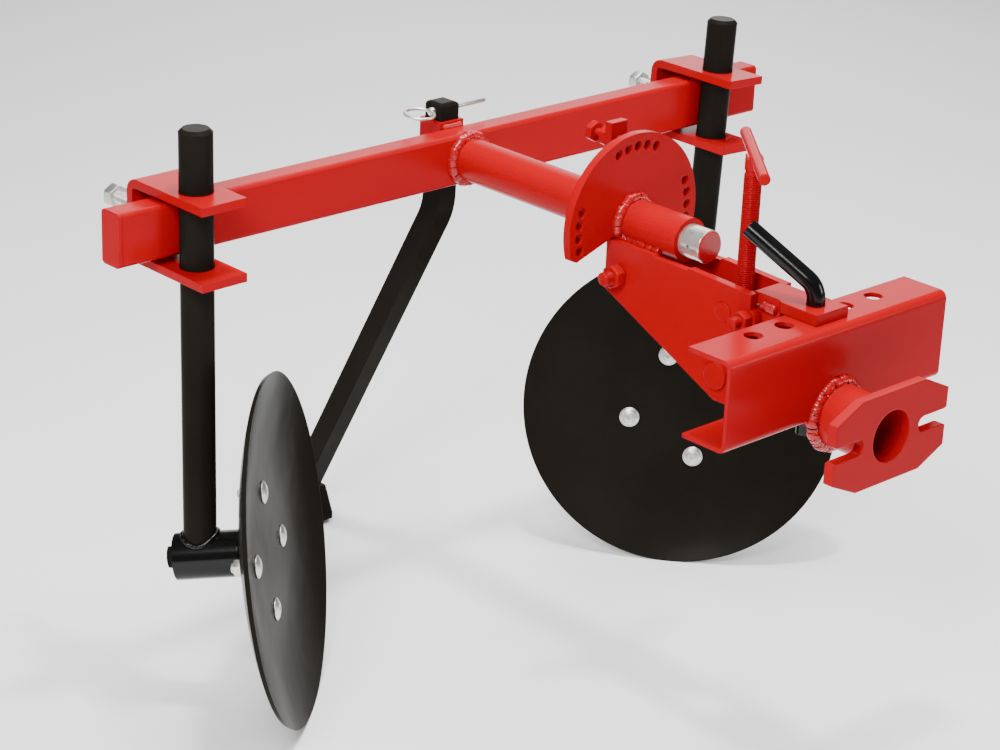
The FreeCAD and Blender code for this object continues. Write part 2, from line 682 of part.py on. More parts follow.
# ---------------------------------------------------------------- toolbar
def toolbar():
    body = new_body("toolbar")
    outer = new_sketch(body, "YZ_Plane")
    corners = [("-bar_depth / 2", "-bar_height / 2"), ("bar_depth / 2", "-bar_height / 2"),
               ("bar_depth / 2", "bar_height / 2"), ("-bar_depth / 2", "bar_height / 2")]
    polygon(outer, corners)
    pad(body, outer, "bar_length - 2 * bar_cap", midplane=True)
    fillet(body, "bar_corner", lambda at, way: abs(way.x) > 0.9)
    inner = new_sketch(body, "YZ_Plane")
    shrink = [(y.replace("/ 2", "/ 2 + bar_wall") if y[0] == "-" else y + " - bar_wall",
               z.replace("/ 2", "/ 2 + bar_wall") if z[0] == "-" else z + " - bar_wall")
              for y, z in corners]
    polygon(inner, shrink)
    cut_through(body, inner, "2 * bar_length")
    return finish(body)


def toolbar_cap(label, side):
    body = new_body(label)
    face = new_sketch(body, "YZ_Plane", "%d * (bar_length / 2 - bar_cap)" % side)
    polygon(face, [("-bar_depth / 2", "-bar_height / 2"), ("bar_depth / 2", "-bar_height / 2"),
                   ("bar_depth / 2", "bar_height / 2"), ("-bar_depth / 2", "bar_height / 2")])
    pad(body, face, "bar_cap", reverse=(side < 0))
    fillet(body, "bar_corner", lambda at, way: abs(way.x) > 0.9)
    return finish(body)


def roll_shaft():
    """The shaft that the toolbar rolls on: its front end closed, the rest bored out."""
    body = new_body("roll_shaft")
    sketch = new_sketch(body, "YZ_Plane")
    front, rear = "-shaft_front", "(-neck_front + shaft_socket)"
    polygon(sketch, [
        (front, "0"), (front, "shaft_diameter / 2 - shaft_chamfer"),
        (front + " + shaft_chamfer", "shaft_diameter / 2"), (rear, "shaft_diameter / 2"),
        (rear, "shaft_bore / 2"), (front + " + shaft_end", "shaft_bore / 2"),
        (front + " + shaft_end", "0")])
    turn(body, sketch, "H_Axis")
    grease = new_sketch(body, "YZ_Plane", "-shaft_diameter / 2")
    circle(grease, "grease_hole", "-grease_front", "0")
    cut_through(body, grease, "shaft_diameter")
    return finish(body)


def index_lug():
    """The upright lug on the neck tube that holds the indexing bolt."""
    body = new_body("index_lug")
    face = new_sketch(body, "XZ_Plane", "lug_rear")
    polygon(face, [("-lug_width / 2", "0"), ("lug_width / 2", "0"), ("lug_width / 2", "lug_top"),
                   ("-lug_width / 2", "lug_top")])
    pad(body, face, "lug_thick")
    saddle = new_sketch(body, "XZ_Plane", "lug_rear")
    circle(saddle, "neck_diameter")
    circle(saddle, "index_bolt", "0", "index_radius")
    cut_through(body, saddle, "4 * lug_thick")
    return finish(body)


def index_bolt():
    reach = "sector_front - sector_thick - face_play - lug_rear + index_gap"
    body = bolt("index_bolt", "index_bolt", reach, "2 * index_bolt", "0.8 * index_bolt")
    place = FreeCAD.Placement(V(0, -size["lug_rear"] + size["index_gap"], size["index_radius"]),
                              FreeCAD.Rotation(V(1, 0, 0), -90))
    return finish(body, place)


# ---------------------------------------------------------------- centre tine
def tine_socket():
    body = new_body("tine_socket")
    outer, inner = "(tine_side / 2 + socket_play + socket_wall)", "(tine_side / 2 + socket_play)"
    for half, action in ((outer, "pad"), (inner, "cut")):
        sketch = new_sketch(body, "XY_Plane", "-socket_drop")
        polygon(sketch, [("-" + half, "-" + half), (half, "-" + half), (half, half),
                         ("-" + half, half)])
        if action == "pad":
            pad(body, sketch, "socket_drop + socket_top")
        else:
            cut_through(body, sketch)
    return finish(body, FreeCAD.Placement(V(0, tine_centre, 0), FreeCAD.Rotation()))


def tine():
    """A square bar that drops straight through its socket and then leans back to the share."""
    body = new_body("tine")
    path = new_sketch(body, "YZ_Plane")
    bent_path(path, ("0", "tine_top"), "-90", "tine_top + tine_knee", "tine_lean - 90",
              "leg_length", "tine_bend")
    section = new_sketch(body, "XY_Plane", "tine_top")
    half = "tine_side / 2"
    polygon(section, [("-" + half, "-" + half), (half, "-" + half), (half, half), ("-" + half, half)])
    pipe(body, section, path)
    hole = new_sketch(body, "YZ_Plane")
    circle(hole, "linch_rod + 2 * pin_play", "0", "tine_top - linch_drop")
    cut_through(body, hole, "4 * tine_side")
    level = new_sketch(body, "YZ_Plane")
    foot, reach = "leg_length * sin(tine_lean)", "2 * tine_side"
    polygon(level, [("%s - %s" % (foot, reach), "share_seat - %s" % reach),
                    ("%s + %s" % (foot, reach), "share_seat - %s" % reach),
                    ("%s + %s" % (foot, reach), "share_seat"),
                    ("%s - %s" % (foot, reach), "share_seat")])
    cut_through(body, level, "4 * tine_side")
    top = size["tine_top"]
    fillet(body, "tine_crown", lambda at, way: abs(at.z - top) < NEAR)
    return finish(body, FreeCAD.Placement(V(0, tine_centre, 0), FreeCAD.Rotation()))


def share():
    """The chisel foot under the tine, its nose forward; drawn about the end of the tine."""
    body = new_body("share")
    sketch = new_sketch(body, "YZ_Plane")
    half = "tine_side / 2 / cos(tine_lean)"
    heel = "(%s + share_behind)" % half
    tip = "%s - share_length" % heel
    polygon(sketch, [
        (tip, "share_rise - share_heel"), ("%s + share_bevel" % tip, "-share_heel"),
        ("%s - heel_bevel" % heel, "-share_heel"), (heel, "-share_heel + heel_bevel"),
        (half, "0"), ("-(%s)" % half, "0"), (tip, "share_rise + share_nose - share_heel")])
    pad(body, sketch, "share_width", midplane=True)
    for side in ("-", ""):
        taper = new_sketch(body, "XY_Plane")
        polygon(taper, [
            (side + "nose_width / 2", tip), (side + "share_width / 2", "-(%s)" % half),
            (side + "share_width", "-(%s)" % half), (side + "share_width", tip)])
        cut_through(body, taper)
    return finish(body, FreeCAD.Placement(V(0, tine_centre + foot_back, share_seat),
                                          FreeCAD.Rotation()))


def linch_pin():
    """The linch pin across the tine: a rod with its flat ring lying level beside the bar."""
    body = rod("linch_pin", "linch_rod", "-linch_start", "linch_length - linch_start", axis="X",
               chamfer="linch_rod / 6")
    ring = new_sketch(body, "XZ_Plane")
    inner, outer = "-linch_start", "-linch_start + linch_wire"
    polygon(ring, [(inner, "-linch_wire / 2"), (outer, "-linch_wire / 2"),
                   (outer, "linch_wire / 2"), (inner, "linch_wire / 2")])
    middle = "-linch_start - linch_ring / 2 + linch_wire"
    turn_about(body, ring, (middle, "0"), (middle, "linch_ring"))
    return finish(body, FreeCAD.Placement(
        V(0, tine_centre, size["tine_top"] - size["linch_drop"]), FreeCAD.Rotation()))


# ---------------------------------------------------------------- clamps
def clamp(side):
    """A plate bent to a U round the toolbar, with the shank's hole in both legs."""
    body = new_body("clamp_" + side)
    section = new_sketch(body, "YZ_Plane")
    polygon(section, [
        ("-clamp_front", "clamp_top"), ("clamp_rear", "clamp_top"), ("clamp_rear", "-clamp_foot"),
        ("-clamp_front", "-clamp_foot"), ("-clamp_front", "-clamp_foot + clamp_plate"),
        ("clamp_rear - clamp_plate", "-clamp_foot + clamp_plate"),
        ("clamp_rear - clamp_plate", "clamp_top - clamp_plate"),
        ("-clamp_front", "clamp_top - clamp_plate")])
    pad(body, section, "clamp_width", midplane=True)
    rear = size["clamp_rear"]
    fillet(body, "clamp_bend", lambda at, way: abs(way.x) > 0.9 and abs(at.y - rear) < NEAR)
    inner = rear - size["clamp_plate"]
    fillet(body, "clamp_bend - clamp_plate",
           lambda at, way: abs(way.x) > 0.9 and abs(at.y - inner) < NEAR)
    hole = new_sketch(body, "XY_Plane")
    circle(hole, "shank_diameter + 2 * pin_play")
    cut_through(body, hole)
    thread = new_sketch(body, "XZ_Plane", "-clamp_rear")
    circle(thread, "clamp_bolt")
    cut_through(body, thread, "4 * clamp_plate")
    return finish(body, clamp_place(side))


def clamp_bolt(side):
    """The set bolt through the bend, its end against the back of the toolbar."""
    body = new_body("clamp_bolt_" + side)
    reach = "bolt_reach_" + side
    head = new_sketch(body, "XZ_Plane", "-" + reach)
    hexagon(head, "1.5 * clamp_bolt")
    pad(body, head, "0.65 * clamp_bolt", reverse=True)
    stem = new_sketch(body, "XZ_Plane", "-" + reach)
    circle(stem, "clamp_bolt")
    pad(body, stem, reach + " - (shank_diameter / 2 + bar_depth + 2 * face_play)")
    return finish(body, clamp_place(side))


# ---------------------------------------------------------------- shanks and discs
def wheel_place(side):
    """The frame of a hub: X along the hub axis from the shank to the disc."""
    place = shank_place(side, slide_right if side == "right" else 0.0)
    tilt = FreeCAD.Placement(V(0, 0, -size["hub_drop"]),
                             FreeCAD.Rotation(V(0, 1, 0), -size["hub_tilt"]))
    return place.multiply(tilt)


def shank(side):
    """The round upright, its top chamfered and its foot saddled on the hub tube."""
    body = rod("shank_" + side, "shank_diameter", "-hub_drop", "shank_top", axis="Z",
               chamfer="shank_chamfer")
    saddle = body.newObject("PartDesign::SubtractiveCylinder", "shank_saddle_" + side)
    bind(saddle, "Radius", "hub_tube / 2")
    bind(saddle, "Height", "4 * hub_tube")
    tilt = FreeCAD.Rotation(V(0, 1, 0), 90 - size["hub_tilt"])
    back = tilt.multVec(V(0, 0, -2 * size["hub_tube"]))
    saddle.Placement = FreeCAD.Placement(V(0, 0, -size["hub_drop"]) + back, tilt)
    doc.recompute()
    return finish(body, shank_place(side, slide_right if side == "right" else 0.0))


def hub_tube(side):
    body = tube("hub_tube_" + side, "hub_tube", "axle_diameter + 2 * axle_play",
                "-hub_outer", "hub_inner", axis="X")
    return finish(body, wheel_place(side))


def bolt_holes(body, side):
    """Four holes for the disc's bolts, turned by the hub's present phase."""
    holes = new_sketch(body, "YZ_Plane")
    for i in range(4):
        angle = "(phase_%s + %d)" % (side, 90 * i)
        circle(holes, "disc_bolt + 2 * pin_play", "-disc_bolt_circle / 2 * sin%s" % angle,
               "disc_bolt_circle / 2 * cos%s" % angle)
    cut_through(body, holes)


def axle(side):
    """The stub axle with its boss and the round flange that the disc is bolted to."""
    body = new_body("axle_" + side)
    sketch = new_sketch(body, "XZ_Plane")
    back = "(disc_reach - disc_depth - disc_thick)"
    face = "(%s - hub_flange_thick)" % back
    polygon(sketch, [
        ("-hub_outer - axle_stub", "0"), ("-hub_outer - axle_stub", "axle_diameter / 2"),
        ("hub_inner + face_play", "axle_diameter / 2"), ("hub_inner + face_play", "hub_boss / 2"),
        (face, "hub_boss / 2"), (face, "hub_flange / 2"), (back, "hub_flange / 2"), (back, "0")])
    turn(body, sketch, "H_Axis")
    bolt_holes(body, side)
    return finish(body, wheel_place(side))


def dish_radius(rim):
    """The radius of the arc that leaves the flat middle smoothly and ends at the rim."""
    return "(((%s - disc_flat / 2)^2 + disc_depth^2) / (2 * disc_depth))" % rim


def disc(side):
    """The dished disc: a flat middle on the hub flange and a curved skirt out to the rim."""
    body = new_body("disc_" + side)
    sketch = new_sketch(body, "XZ_Plane")
    rim = "(disc_diameter / 2 - disc_edge)"
    face = "(disc_reach - disc_depth)"
    outline = [(face + " - disc_thick", "0"), (face + " - disc_thick", "disc_flat / 2"),
               ("disc_reach - disc_thick", rim),
               ("disc_reach", "disc_diameter / 2"), (face, "disc_flat / 2"), (face, "0")]
    line(sketch, outline[0], outline[1])
    arc(sketch, outline[1], outline[2], dish_radius(rim), -1)
    line(sketch, outline[2], outline[3])
    arc(sketch, outline[3], outline[4], dish_radius("(disc_diameter / 2)"), 1)
    line(sketch, outline[4], outline[5])
    line(sketch, outline[5], outline[0])
    hold_points(sketch, outline)
    turn(body, sketch, "H_Axis")
    bolt_holes(body, side)
    return finish(body, wheel_place(side))


def disc_bolts(side):
    """Four round-headed bolts that hold the disc on its flange, with nuts behind."""
    body = new_body("disc_bolts_" + side)
    body.AllowCompound = True
    face = "disc_reach - disc_depth"
    grip = "disc_thick + hub_flange_thick"
    nut = new_sketch(body, "YZ_Plane", "%s - (%s)" % (face, grip))
    hexagon(nut, "1.5 * disc_bolt", "0", "disc_bolt_circle / 2")
    nuts = pad(body, nut, "0.8 * disc_bolt", reverse=True)
    stem = new_sketch(body, "YZ_Plane", face)
    circle(stem, "disc_bolt", "0", "disc_bolt_circle / 2")
    stems = pad(body, stem, "%s + 1.1 * disc_bolt" % grip, reverse=True)
    dome = new_sketch(body, "XZ_Plane")
    tall = "disc_bolt_circle / 2"
    polygon(dome, [
        (face, tall), (face, tall + " + disc_bolt_head / 2"),
        (face + " + disc_bolt_dome / 2", tall + " + disc_bolt_head * 0.4"),
        (face + " + disc_bolt_dome", tall + " + disc_bolt_head / 5"),
        (face + " + disc_bolt_dome", tall)])
    heads = turn_about(body, dome, (face, tall), (face + " + disc_bolt_head", tall))
    pattern = body.newObject("PartDesign::PolarPattern", body.Label + "_pattern")
    pattern.Originals = [nuts, stems, heads]
    pattern.Axis = ([f for f in body.Origin.OriginFeatures if f.Role == "X_Axis"][0], [""])
    pattern.Angle = 360
    pattern.Occurrences = 4
    body.Tip = pattern
    doc.recompute()
    spin = FreeCAD.Rotation(V(1, 0, 0), size["phase_" + side])
    return finish(body, wheel_place(side).multiply(FreeCAD.Placement(V(), spin)))


# ---------------------------------------------------------------- the machine
coupling_channel()
coupling_tube()
coupling_flange()
swivel_lug("swivel_upper_lug", "-(channel_top - face_play) + lug_plate", "swivel_rear")
swivel_lug("swivel_lower_lug", "-(channel_top + channel_height + face_play)", "post_rear")
swivel_post()
pitch_eye()
tongue()
hinge_pin()
side_plate("side_plate_left", -1)
side_plate("side_plate_right", 1)
finish(tube("sleeve", "sleeve_diameter", "shaft_diameter + 2 * shaft_play", "-sleeve_front",
            "-sector_front"))
index_sector()
trunnion()
cross_bolt("pitch_bolt", size["pitch_front"], size["pitch_drop"], "pitch_pin")
cross_bolt("tie_bolt", size["tie_front"], size["tie_drop"], "tie_bolt")
stop_pin()
spindle()
spindle_handle()
toolbar()
toolbar_cap("toolbar_cap_left", -1)
toolbar_cap("toolbar_cap_right", 1)
finish(tube("neck_tube", "neck_diameter", "shaft_diameter", "-neck_front", "-bar_depth / 2"))
roll_shaft()
index_lug()
index_bolt()
tine_socket()
tine()
share()
linch_pin()
for side in ("left", "right"):
    clamp(side)
    clamp_bolt(side)
    shank(side)
    hub_tube(side)
    axle(side)
    disc(side)
    disc_bolts(side)

doc.recompute()
for thing in doc.Objects:
    if "Invalid" in thing.State or "Error" in thing.State:
        raise RuntimeError("%s: %s" % (thing.Label, thing.State))
for piece in pieces:
    if piece.Shape.isNull() or not piece.Shape.isValid():
        raise RuntimeError("%s has no valid shape" % piece.Label)

os.makedirs("parts", exist_ok=True)
for piece in pieces:
    piece.Shape.exportStep("parts/%s.step" % piece.Label)
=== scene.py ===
"""Looks for the disc ridger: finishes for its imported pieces, and its welds, threads and fasteners.

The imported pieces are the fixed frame. Each operator below finishes one piece or group of pieces, in
metres and in the frame's own axes: X along the toolbar, -Y forward to the coupling, Z up.
"""
import json
import math
import random
import bpy
from mathutils import Matrix, Vector


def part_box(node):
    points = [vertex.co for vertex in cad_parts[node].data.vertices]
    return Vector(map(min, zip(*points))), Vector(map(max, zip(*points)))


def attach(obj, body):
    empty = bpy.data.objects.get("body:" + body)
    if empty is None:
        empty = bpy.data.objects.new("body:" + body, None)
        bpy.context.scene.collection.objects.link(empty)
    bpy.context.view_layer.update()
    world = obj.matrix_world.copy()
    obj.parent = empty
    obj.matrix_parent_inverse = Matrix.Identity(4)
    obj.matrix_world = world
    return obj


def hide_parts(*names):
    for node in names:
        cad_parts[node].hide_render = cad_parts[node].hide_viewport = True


bl_info = {
    "name": "Disc Ridger Looks",
    "version": (1, 0, 0),
    "blender": (4, 5, 0),
    "location": "View3D > Sidebar > Disc Ridger",
    "description": "Finishes and small fittings for a disc ridger",
    "category": "Object",
}

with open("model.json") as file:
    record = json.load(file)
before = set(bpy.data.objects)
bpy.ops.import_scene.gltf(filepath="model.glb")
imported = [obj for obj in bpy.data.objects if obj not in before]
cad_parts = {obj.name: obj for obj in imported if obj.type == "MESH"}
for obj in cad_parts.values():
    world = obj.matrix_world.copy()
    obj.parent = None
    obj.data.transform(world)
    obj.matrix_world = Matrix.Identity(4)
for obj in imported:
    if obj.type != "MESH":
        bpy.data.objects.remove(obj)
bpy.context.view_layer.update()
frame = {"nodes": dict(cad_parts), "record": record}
NODES = frame["nodes"]
JOINTS = {joint["name"]: joint for joint in frame["record"]["behaviour"]["joints"]}
SIDES = ("left", "right")

# Enamel: grain and depth of its orange peel
PEEL_SCALE = 430.0
PEEL_DEPTH = 0.00005

# Bolts and bars: widths across a hexagon, and of its turned face, as shares of the size below
HEX_FLATS = 1.5
TURNED_FACE = 0.475
SLIVER = 0.00003
CLAMP_BOLT = 0.016
CLAMP_PITCH = 0.002
CLAMP_HEAD = 0.0135
HEAD_INSET = 0.0035
CUP_DEPTH = 0.0005
DISC_BOLT = 0.012
DISC_PITCH = 0.00175
DISC_HEAD = 0.026
DISC_DOME = 0.005
TIE_BOLT = 0.016
PITCH_BOLT = 0.014
SPINDLE_PITCH = 0.0025
SPINDLE_PLAIN = 0.014
FOOT_LIFT = 0.0012
SHANK = 0.038
HUB_TUBE = 0.054

# Weld beads: spacing of points, length of a ripple, and each bead's radius
STITCH = 0.00045
RIPPLE_STEP = 0.13
BEAD_TUBE = 0.0080
BEAD_SLEEVE = 0.0074
BEAD_PLATE = 0.0060
BEAD_POST = 0.0056
BEAD_SOCKET_TOP = 0.0040
BEAD_FLANGE = 0.0038
BEAD_SHANK = 0.0034
BEAD_SMALL = 0.0032
BEAD_HANDLE = 0.0026

# How far a bead's line stands off the faces that it joins
STAND_OFF = 0.0008
SEAT = 0.0002
POST_OFF = 0.0006
PLATE_OFF = 0.0012
PLATE_RISE = 0.0010


# ---------------------------------------------------------------- shader maths
class Sock:
    """A shader socket that adds its Math nodes when it is used in an expression."""

    def __init__(self, tree, out):
        self.tree, self.out = tree, out

    def maths(self, operation, *others):
        node = self.tree.nodes.new("ShaderNodeMath")
        node.operation = operation
        for slot, thing in zip(node.inputs, others):
            plug(self.tree, slot, thing)
        return Sock(self.tree, node.outputs[0])

    def __add__(self, other):
        return self.maths("ADD", self, other)

    def __radd__(self, other):
        return self.maths("ADD", other, self)

    def __sub__(self, other):
        return self.maths("SUBTRACT", self, other)

    def __rsub__(self, other):
        return self.maths("SUBTRACT", other, self)

    def __mul__(self, other):
        return self.maths("MULTIPLY", self, other)

    def __rmul__(self, other):
        return self.maths("MULTIPLY", other, self)

    def __gt__(self, other):
        return self.maths("GREATER_THAN", self, other)

    def __lt__(self, other):
        return self.maths("LESS_THAN", self, other)


def plug(tree, slot, thing):
    """Put a value or a link into a node's input."""
    if isinstance(thing, Sock):
        tree.links.new(thing.out, slot)
    else:
        slot.default_value = thing


class Finish:
    """One procedural material, built node by node."""

    def __init__(self, name):
        self.material = bpy.data.materials.new(name)
        self.material.use_nodes = True
        self.tree = self.material.node_tree
        self.shader = self.tree.nodes["Principled BSDF"]
        place = self.tree.nodes.new("ShaderNodeTexCoord")
        self.place = Sock(self.tree, place.outputs["Object"])

    def node(self, kind, settings=None, output=0, **sockets):
        """Add any node: its settings first, then its sockets by name."""
        made = self.tree.nodes.new(kind)
        for key, setting in (settings or {}).items():
            setattr(made, key, setting)
        for key, thing in sockets.items():
            plug(self.tree, made.inputs[key.replace("_", " ")], thing)
        return Sock(self.tree, made.outputs[output])

    def noise(self, scale, detail=2.0, roughness=0.5, place=None):
        return self.node("ShaderNodeTexNoise", Vector=place or self.place, Scale=scale,
                         Detail=detail, Roughness=roughness)

    def mapped(self, scale, rotation=(0, 0, 0), location=(0, 0, 0)):
        return self.node("ShaderNodeMapping", Vector=self.place, Scale=scale, Rotation=rotation,
                         Location=location)

    def between(self, mask, low, high):
        """A mask from 0 to 1 taken to the range from low to high."""
        return mask * (high - low) + low

    def blend(self, mask, first, second):
        """Mix two colours by a mask."""
        mix = self.tree.nodes.new("ShaderNodeMix")
        mix.data_type = "RGBA"
        plug(self.tree, mix.inputs[0], mask)
        plug(self.tree, mix.inputs[6], first)
        plug(self.tree, mix.inputs[7], second)
        return Sock(self.tree, mix.outputs[2])

    def step(self, value, low, high):
        """A soft step of a value between two edges."""
        return self.node("ShaderNodeMapRange", {"interpolation_type": "SMOOTHSTEP"}, Value=value,
                         **{"From_Min": low, "From_Max": high})

    def part(self, axis):
        """One component, 0 to 2, of the place on the piece."""
        return self.node("ShaderNodeSeparateXYZ", output=axis, Vector=self.place)

    def rounded(self, radius):
        """Normals that round the sharp edges by a radius."""
        return self.node("ShaderNodeBevel", {"samples": 6}, Radius=radius)

    def bump(self, height, distance, strength=1.0, normal=None):
        more = {"Normal": normal} if normal else {}
        return self.node("ShaderNodeBump", Height=height, Distance=distance, Strength=strength,
                         **more)

    def set(self, **sockets):
        for key, thing in sockets.items():
            plug(self.tree, self.shader.inputs[key.replace("_", " ")], thing)
        return self.material


def gloss_paint(name, colour, deep, rough, gloss, edge, texture=PEEL_DEPTH):
    """Sprayed gloss enamel: faint orange peel, soft drifts of tone and rounded edges."""
    paint = Finish(name)
    drift = paint.noise(7.0, 2.0, 0.5)
    peel = paint.noise(PEEL_SCALE, 1.0, 0.4)
    sag = paint.noise(38.0, 1.0, 0.5)
    tone = paint.blend(drift, colour, deep)
    normal = paint.bump(peel + sag * 4.0, texture, 0.45, paint.rounded(edge))
    return paint.set(Base_Color=tone, Roughness=paint.between(drift, rough, rough + 0.10),
                     Specular_IOR_Level=gloss, Normal=normal)


def satin_paint(name, colour, deep):
    """Satin black over pressed plate: slow waves in the surface under a faint orange peel."""
    paint = Finish(name)
    wave = paint.noise(12.0, 2.0, 0.45)
    peel = paint.bump(paint.noise(PEEL_SCALE, 1.0, 0.4), PEEL_DEPTH, 0.4,
                      paint.rounded(0.0008))
    return paint.set(Base_Color=paint.blend(wave, colour, deep), Specular_IOR_Level=0.012,
                     Roughness=paint.between(wave, 0.16, 0.26),
                     Normal=paint.bump(wave, 0.0030, 0.5, peel))


def zinc_plate(name, colour):
    """Bright zinc plating with a fine mottled crystal and slight dulling."""
    plate = Finish(name)
    grain = plate.noise(900.0, 2.0, 0.6)
    cloud = plate.noise(140.0, 3.0, 0.6)
    dull = tuple(0.72 * c for c in colour[:3]) + (1.0,)
    tone = plate.blend(plate.step(cloud, 0.3, 0.75), colour, dull)
    return plate.set(Base_Color=tone, Metallic=0.92, Roughness=plate.between(grain, 0.24, 0.46),
                     Normal=plate.bump(grain, 0.00005, 0.5, plate.rounded(0.0005)))


def turned_steel(name, colour, paint_colour, face, depth):
    """A ground shaft with fine turning marks round it and gloss paint on its end face."""
    steel = Finish(name)
    along = steel.part(1)
    painted = along < (face + depth)
    marks = steel.noise(1.0, 3.0, 0.7, steel.mapped((20.0, 4200.0, 20.0)))
    smear = steel.noise(70.0, 3.0, 0.6)
    brown = (0.30, 0.24, 0.19, 1.0)
    bare = steel.blend(steel.step(smear, 0.45, 0.8), colour, brown)
    tone = steel.blend(painted, bare, paint_colour)
    metal = (1.0 - painted) * 0.8
    rough = steel.between(marks, 0.12, 0.26)
    return steel.set(Base_Color=tone, Metallic=metal, Roughness=rough,
                     Normal=steel.bump(marks * metal, 0.00001, 0.6, steel.rounded(0.0006)))


def rgb(values):
    return (*values, 1.0)


def dress(names, material):
    """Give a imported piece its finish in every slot."""
    for name in names:
        piece = NODES[name]
        piece.data.materials.clear()
        piece.data.materials.append(material)


# ---------------------------------------------------------------- places in the frame
def low(node):
    return Vector(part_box(node)[0])


def high(node):
    return Vector(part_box(node)[1])


def middle(node):
    return (low(node) + high(node)) / 2


def pivot(joint):
    return Vector(JOINTS[joint]["pos_m"])


def way(joint):
    return Vector(JOINTS[joint]["axis"]).normalized()


def across(axis):
    """Two unit vectors square to an axis and to each other."""
    helper = Vector((0, 0, 1)) if abs(axis.z) < 0.9 else Vector((1, 0, 0))
    first = axis.cross(helper).normalized()
    return first, axis.cross(first).normalized()


def towards(axis, place=(0, 0, 0)):
    """The placement that takes local Z to an axis at a place."""
    turn = Vector(axis).to_track_quat("Z", "Y").to_matrix().to_4x4()
    return Matrix.Translation(place) @ turn


# ---------------------------------------------------------------- modelling
def start():
    """Leave nothing selected before a new piece is made."""
    if bpy.context.mode != "OBJECT":
        bpy.ops.object.mode_set(mode="OBJECT")
    bpy.ops.object.select_all(action="DESELECT")


def pick(piece):
    start()
    piece.select_set(True)
    bpy.context.view_layer.objects.active = piece
    return piece


def join(name, pieces):
    """Join several meshes into one piece."""
    start()
    for piece in pieces:
        piece.select_set(True)
    bpy.context.view_layer.objects.active = pieces[0]
    if len(pieces) > 1:
        bpy.ops.object.join()
    pieces[0].name = pieces[0].data.name = name
    return pieces[0]


def settle(piece, place=None):
    """Put a piece at its place and apply that to its mesh."""
    pick(piece)
    if place is not None:
        piece.matrix_world = place @ piece.matrix_world
    bpy.ops.object.transform_apply(location=True, rotation=True, scale=True)
    return piece


def modify(piece, kind, **settings):
    """Add one modifier with its settings and apply it."""
    pick(piece)
    bpy.ops.object.modifier_add(type=kind)
    modifier = piece.modifiers[-1]
    for key, setting in settings.items():
        setattr(modifier, key, setting)
    bpy.ops.object.modifier_apply(modifier=modifier.name)
    return piece


def smooth(piece, angle=35.0):
    pick(piece)
    bpy.ops.object.shade_smooth_by_angle(angle=math.radians(angle))
    return piece


def copy_at(piece, place):
    """A copy of a piece, with its own mesh, moved to a place."""
    twin = piece.copy()
    twin.data = piece.data.copy()
    bpy.context.collection.objects.link(twin)
    return settle(twin, place)


def hand_over(piece, material, slot, body, *nodes):
    """Give a finished piece its material and body, and hide the nodes it stands for. The slot is not
    used.
    """
    piece.data.materials.clear()
    piece.data.materials.append(material)
    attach(piece, body)
    for node in nodes:
        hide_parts(node)
    return piece


def finish_named(name):
    return bpy.data.materials[name]


def choose(piece, kind, test):
    """Enter edit mode with only the faces or points that pass a test selected."""
    pick(piece)
    bpy.context.tool_settings.mesh_select_mode = (kind == "VERT", False, kind == "FACE")
    bpy.ops.object.mode_set(mode="EDIT")
    bpy.ops.mesh.select_all(action="DESELECT")
    bpy.ops.object.mode_set(mode="OBJECT")
    for thing in (piece.data.vertices if kind == "VERT" else piece.data.polygons):
        thing.select = test(thing)
    bpy.ops.object.mode_set(mode="EDIT")


def step_top(piece, radius, steps):
    """Draw the top face in to each new radius in turn and move it up or down."""
    top = max(face.center.z for face in piece.data.polygons)
    choose(piece, "FACE", lambda face: face.center.z > top - 1e-6 and face.normal.z > 0.9)
    for new_radius, lift in steps:
        share = new_radius / radius
        bpy.ops.mesh.extrude_region_move(TRANSFORM_OT_translate={"value": (0, 0, lift)})
        bpy.ops.transform.resize(value=(share, share, 1), center_override=(0, 0, 0))
        radius = new_radius
    bpy.ops.object.mode_set(mode="OBJECT")
    return piece


def round_bar(radius, length, base=0.0, bevel=0.0, sides=48):
    """A round bar on local Z from base upwards, its rims bevelled."""
    start()
    bpy.ops.mesh.primitive_cylinder_add(vertices=sides, radius=radius, depth=length,
                                        location=(0, 0, base + length / 2))
    bar = settle(bpy.context.object)
    if bevel:
        modify(bar, "BEVEL", width=bevel, segments=2, limit_method="ANGLE")
    return bar


def hex_block(flats, tall, base=0.0, both=False):
    """A hexagon block on local Z whose corners are turned off at the top, or at both ends."""
    start()
    bpy.ops.mesh.primitive_cylinder_add(vertices=6, radius=flats / math.sqrt(3), depth=tall,
                                        location=(0, 0, base + tall / 2))
    block = settle(bpy.context.object)
    for flip in ((False, True) if both else (False,)):
        turn_off(block, flats, tall, base, flip)
    modify(block, "BEVEL", width=0.02 * flats, segments=2, limit_method="ANGLE",
           angle_limit=math.radians(50))
    return clean(block)


def clean(piece):
    """Take out the slivers that a cut leaves."""
    pick(piece)
    bpy.ops.object.mode_set(mode="EDIT")
    bpy.ops.mesh.select_all(action="SELECT")
    bpy.ops.mesh.remove_doubles(threshold=SLIVER)
    bpy.ops.mesh.dissolve_degenerate(threshold=SLIVER)
    bpy.ops.mesh.select_all(action="SELECT")
    bpy.ops.mesh.normals_make_consistent(inside=False)
    bpy.ops.object.mode_set(mode="OBJECT")
    return piece


def turn_off(block, flats, tall, base, flip):
    """Cut a hexagon block's corners with a 30 degree cone."""
    start()
    top, spread = TURNED_FACE * flats, tall * math.sqrt(3)
    ends = (top, top + spread) if flip else (top + spread, top)
    bpy.ops.mesh.primitive_cone_add(vertices=60, radius1=ends[0], radius2=ends[1], depth=tall,
                                    location=(0, 0, base + tall / 2))
    cone = settle(bpy.context.object)
    modify(block, "BOOLEAN", operation="INTERSECT", object=cone, solver="EXACT")
    bpy.data.objects.remove(cone)


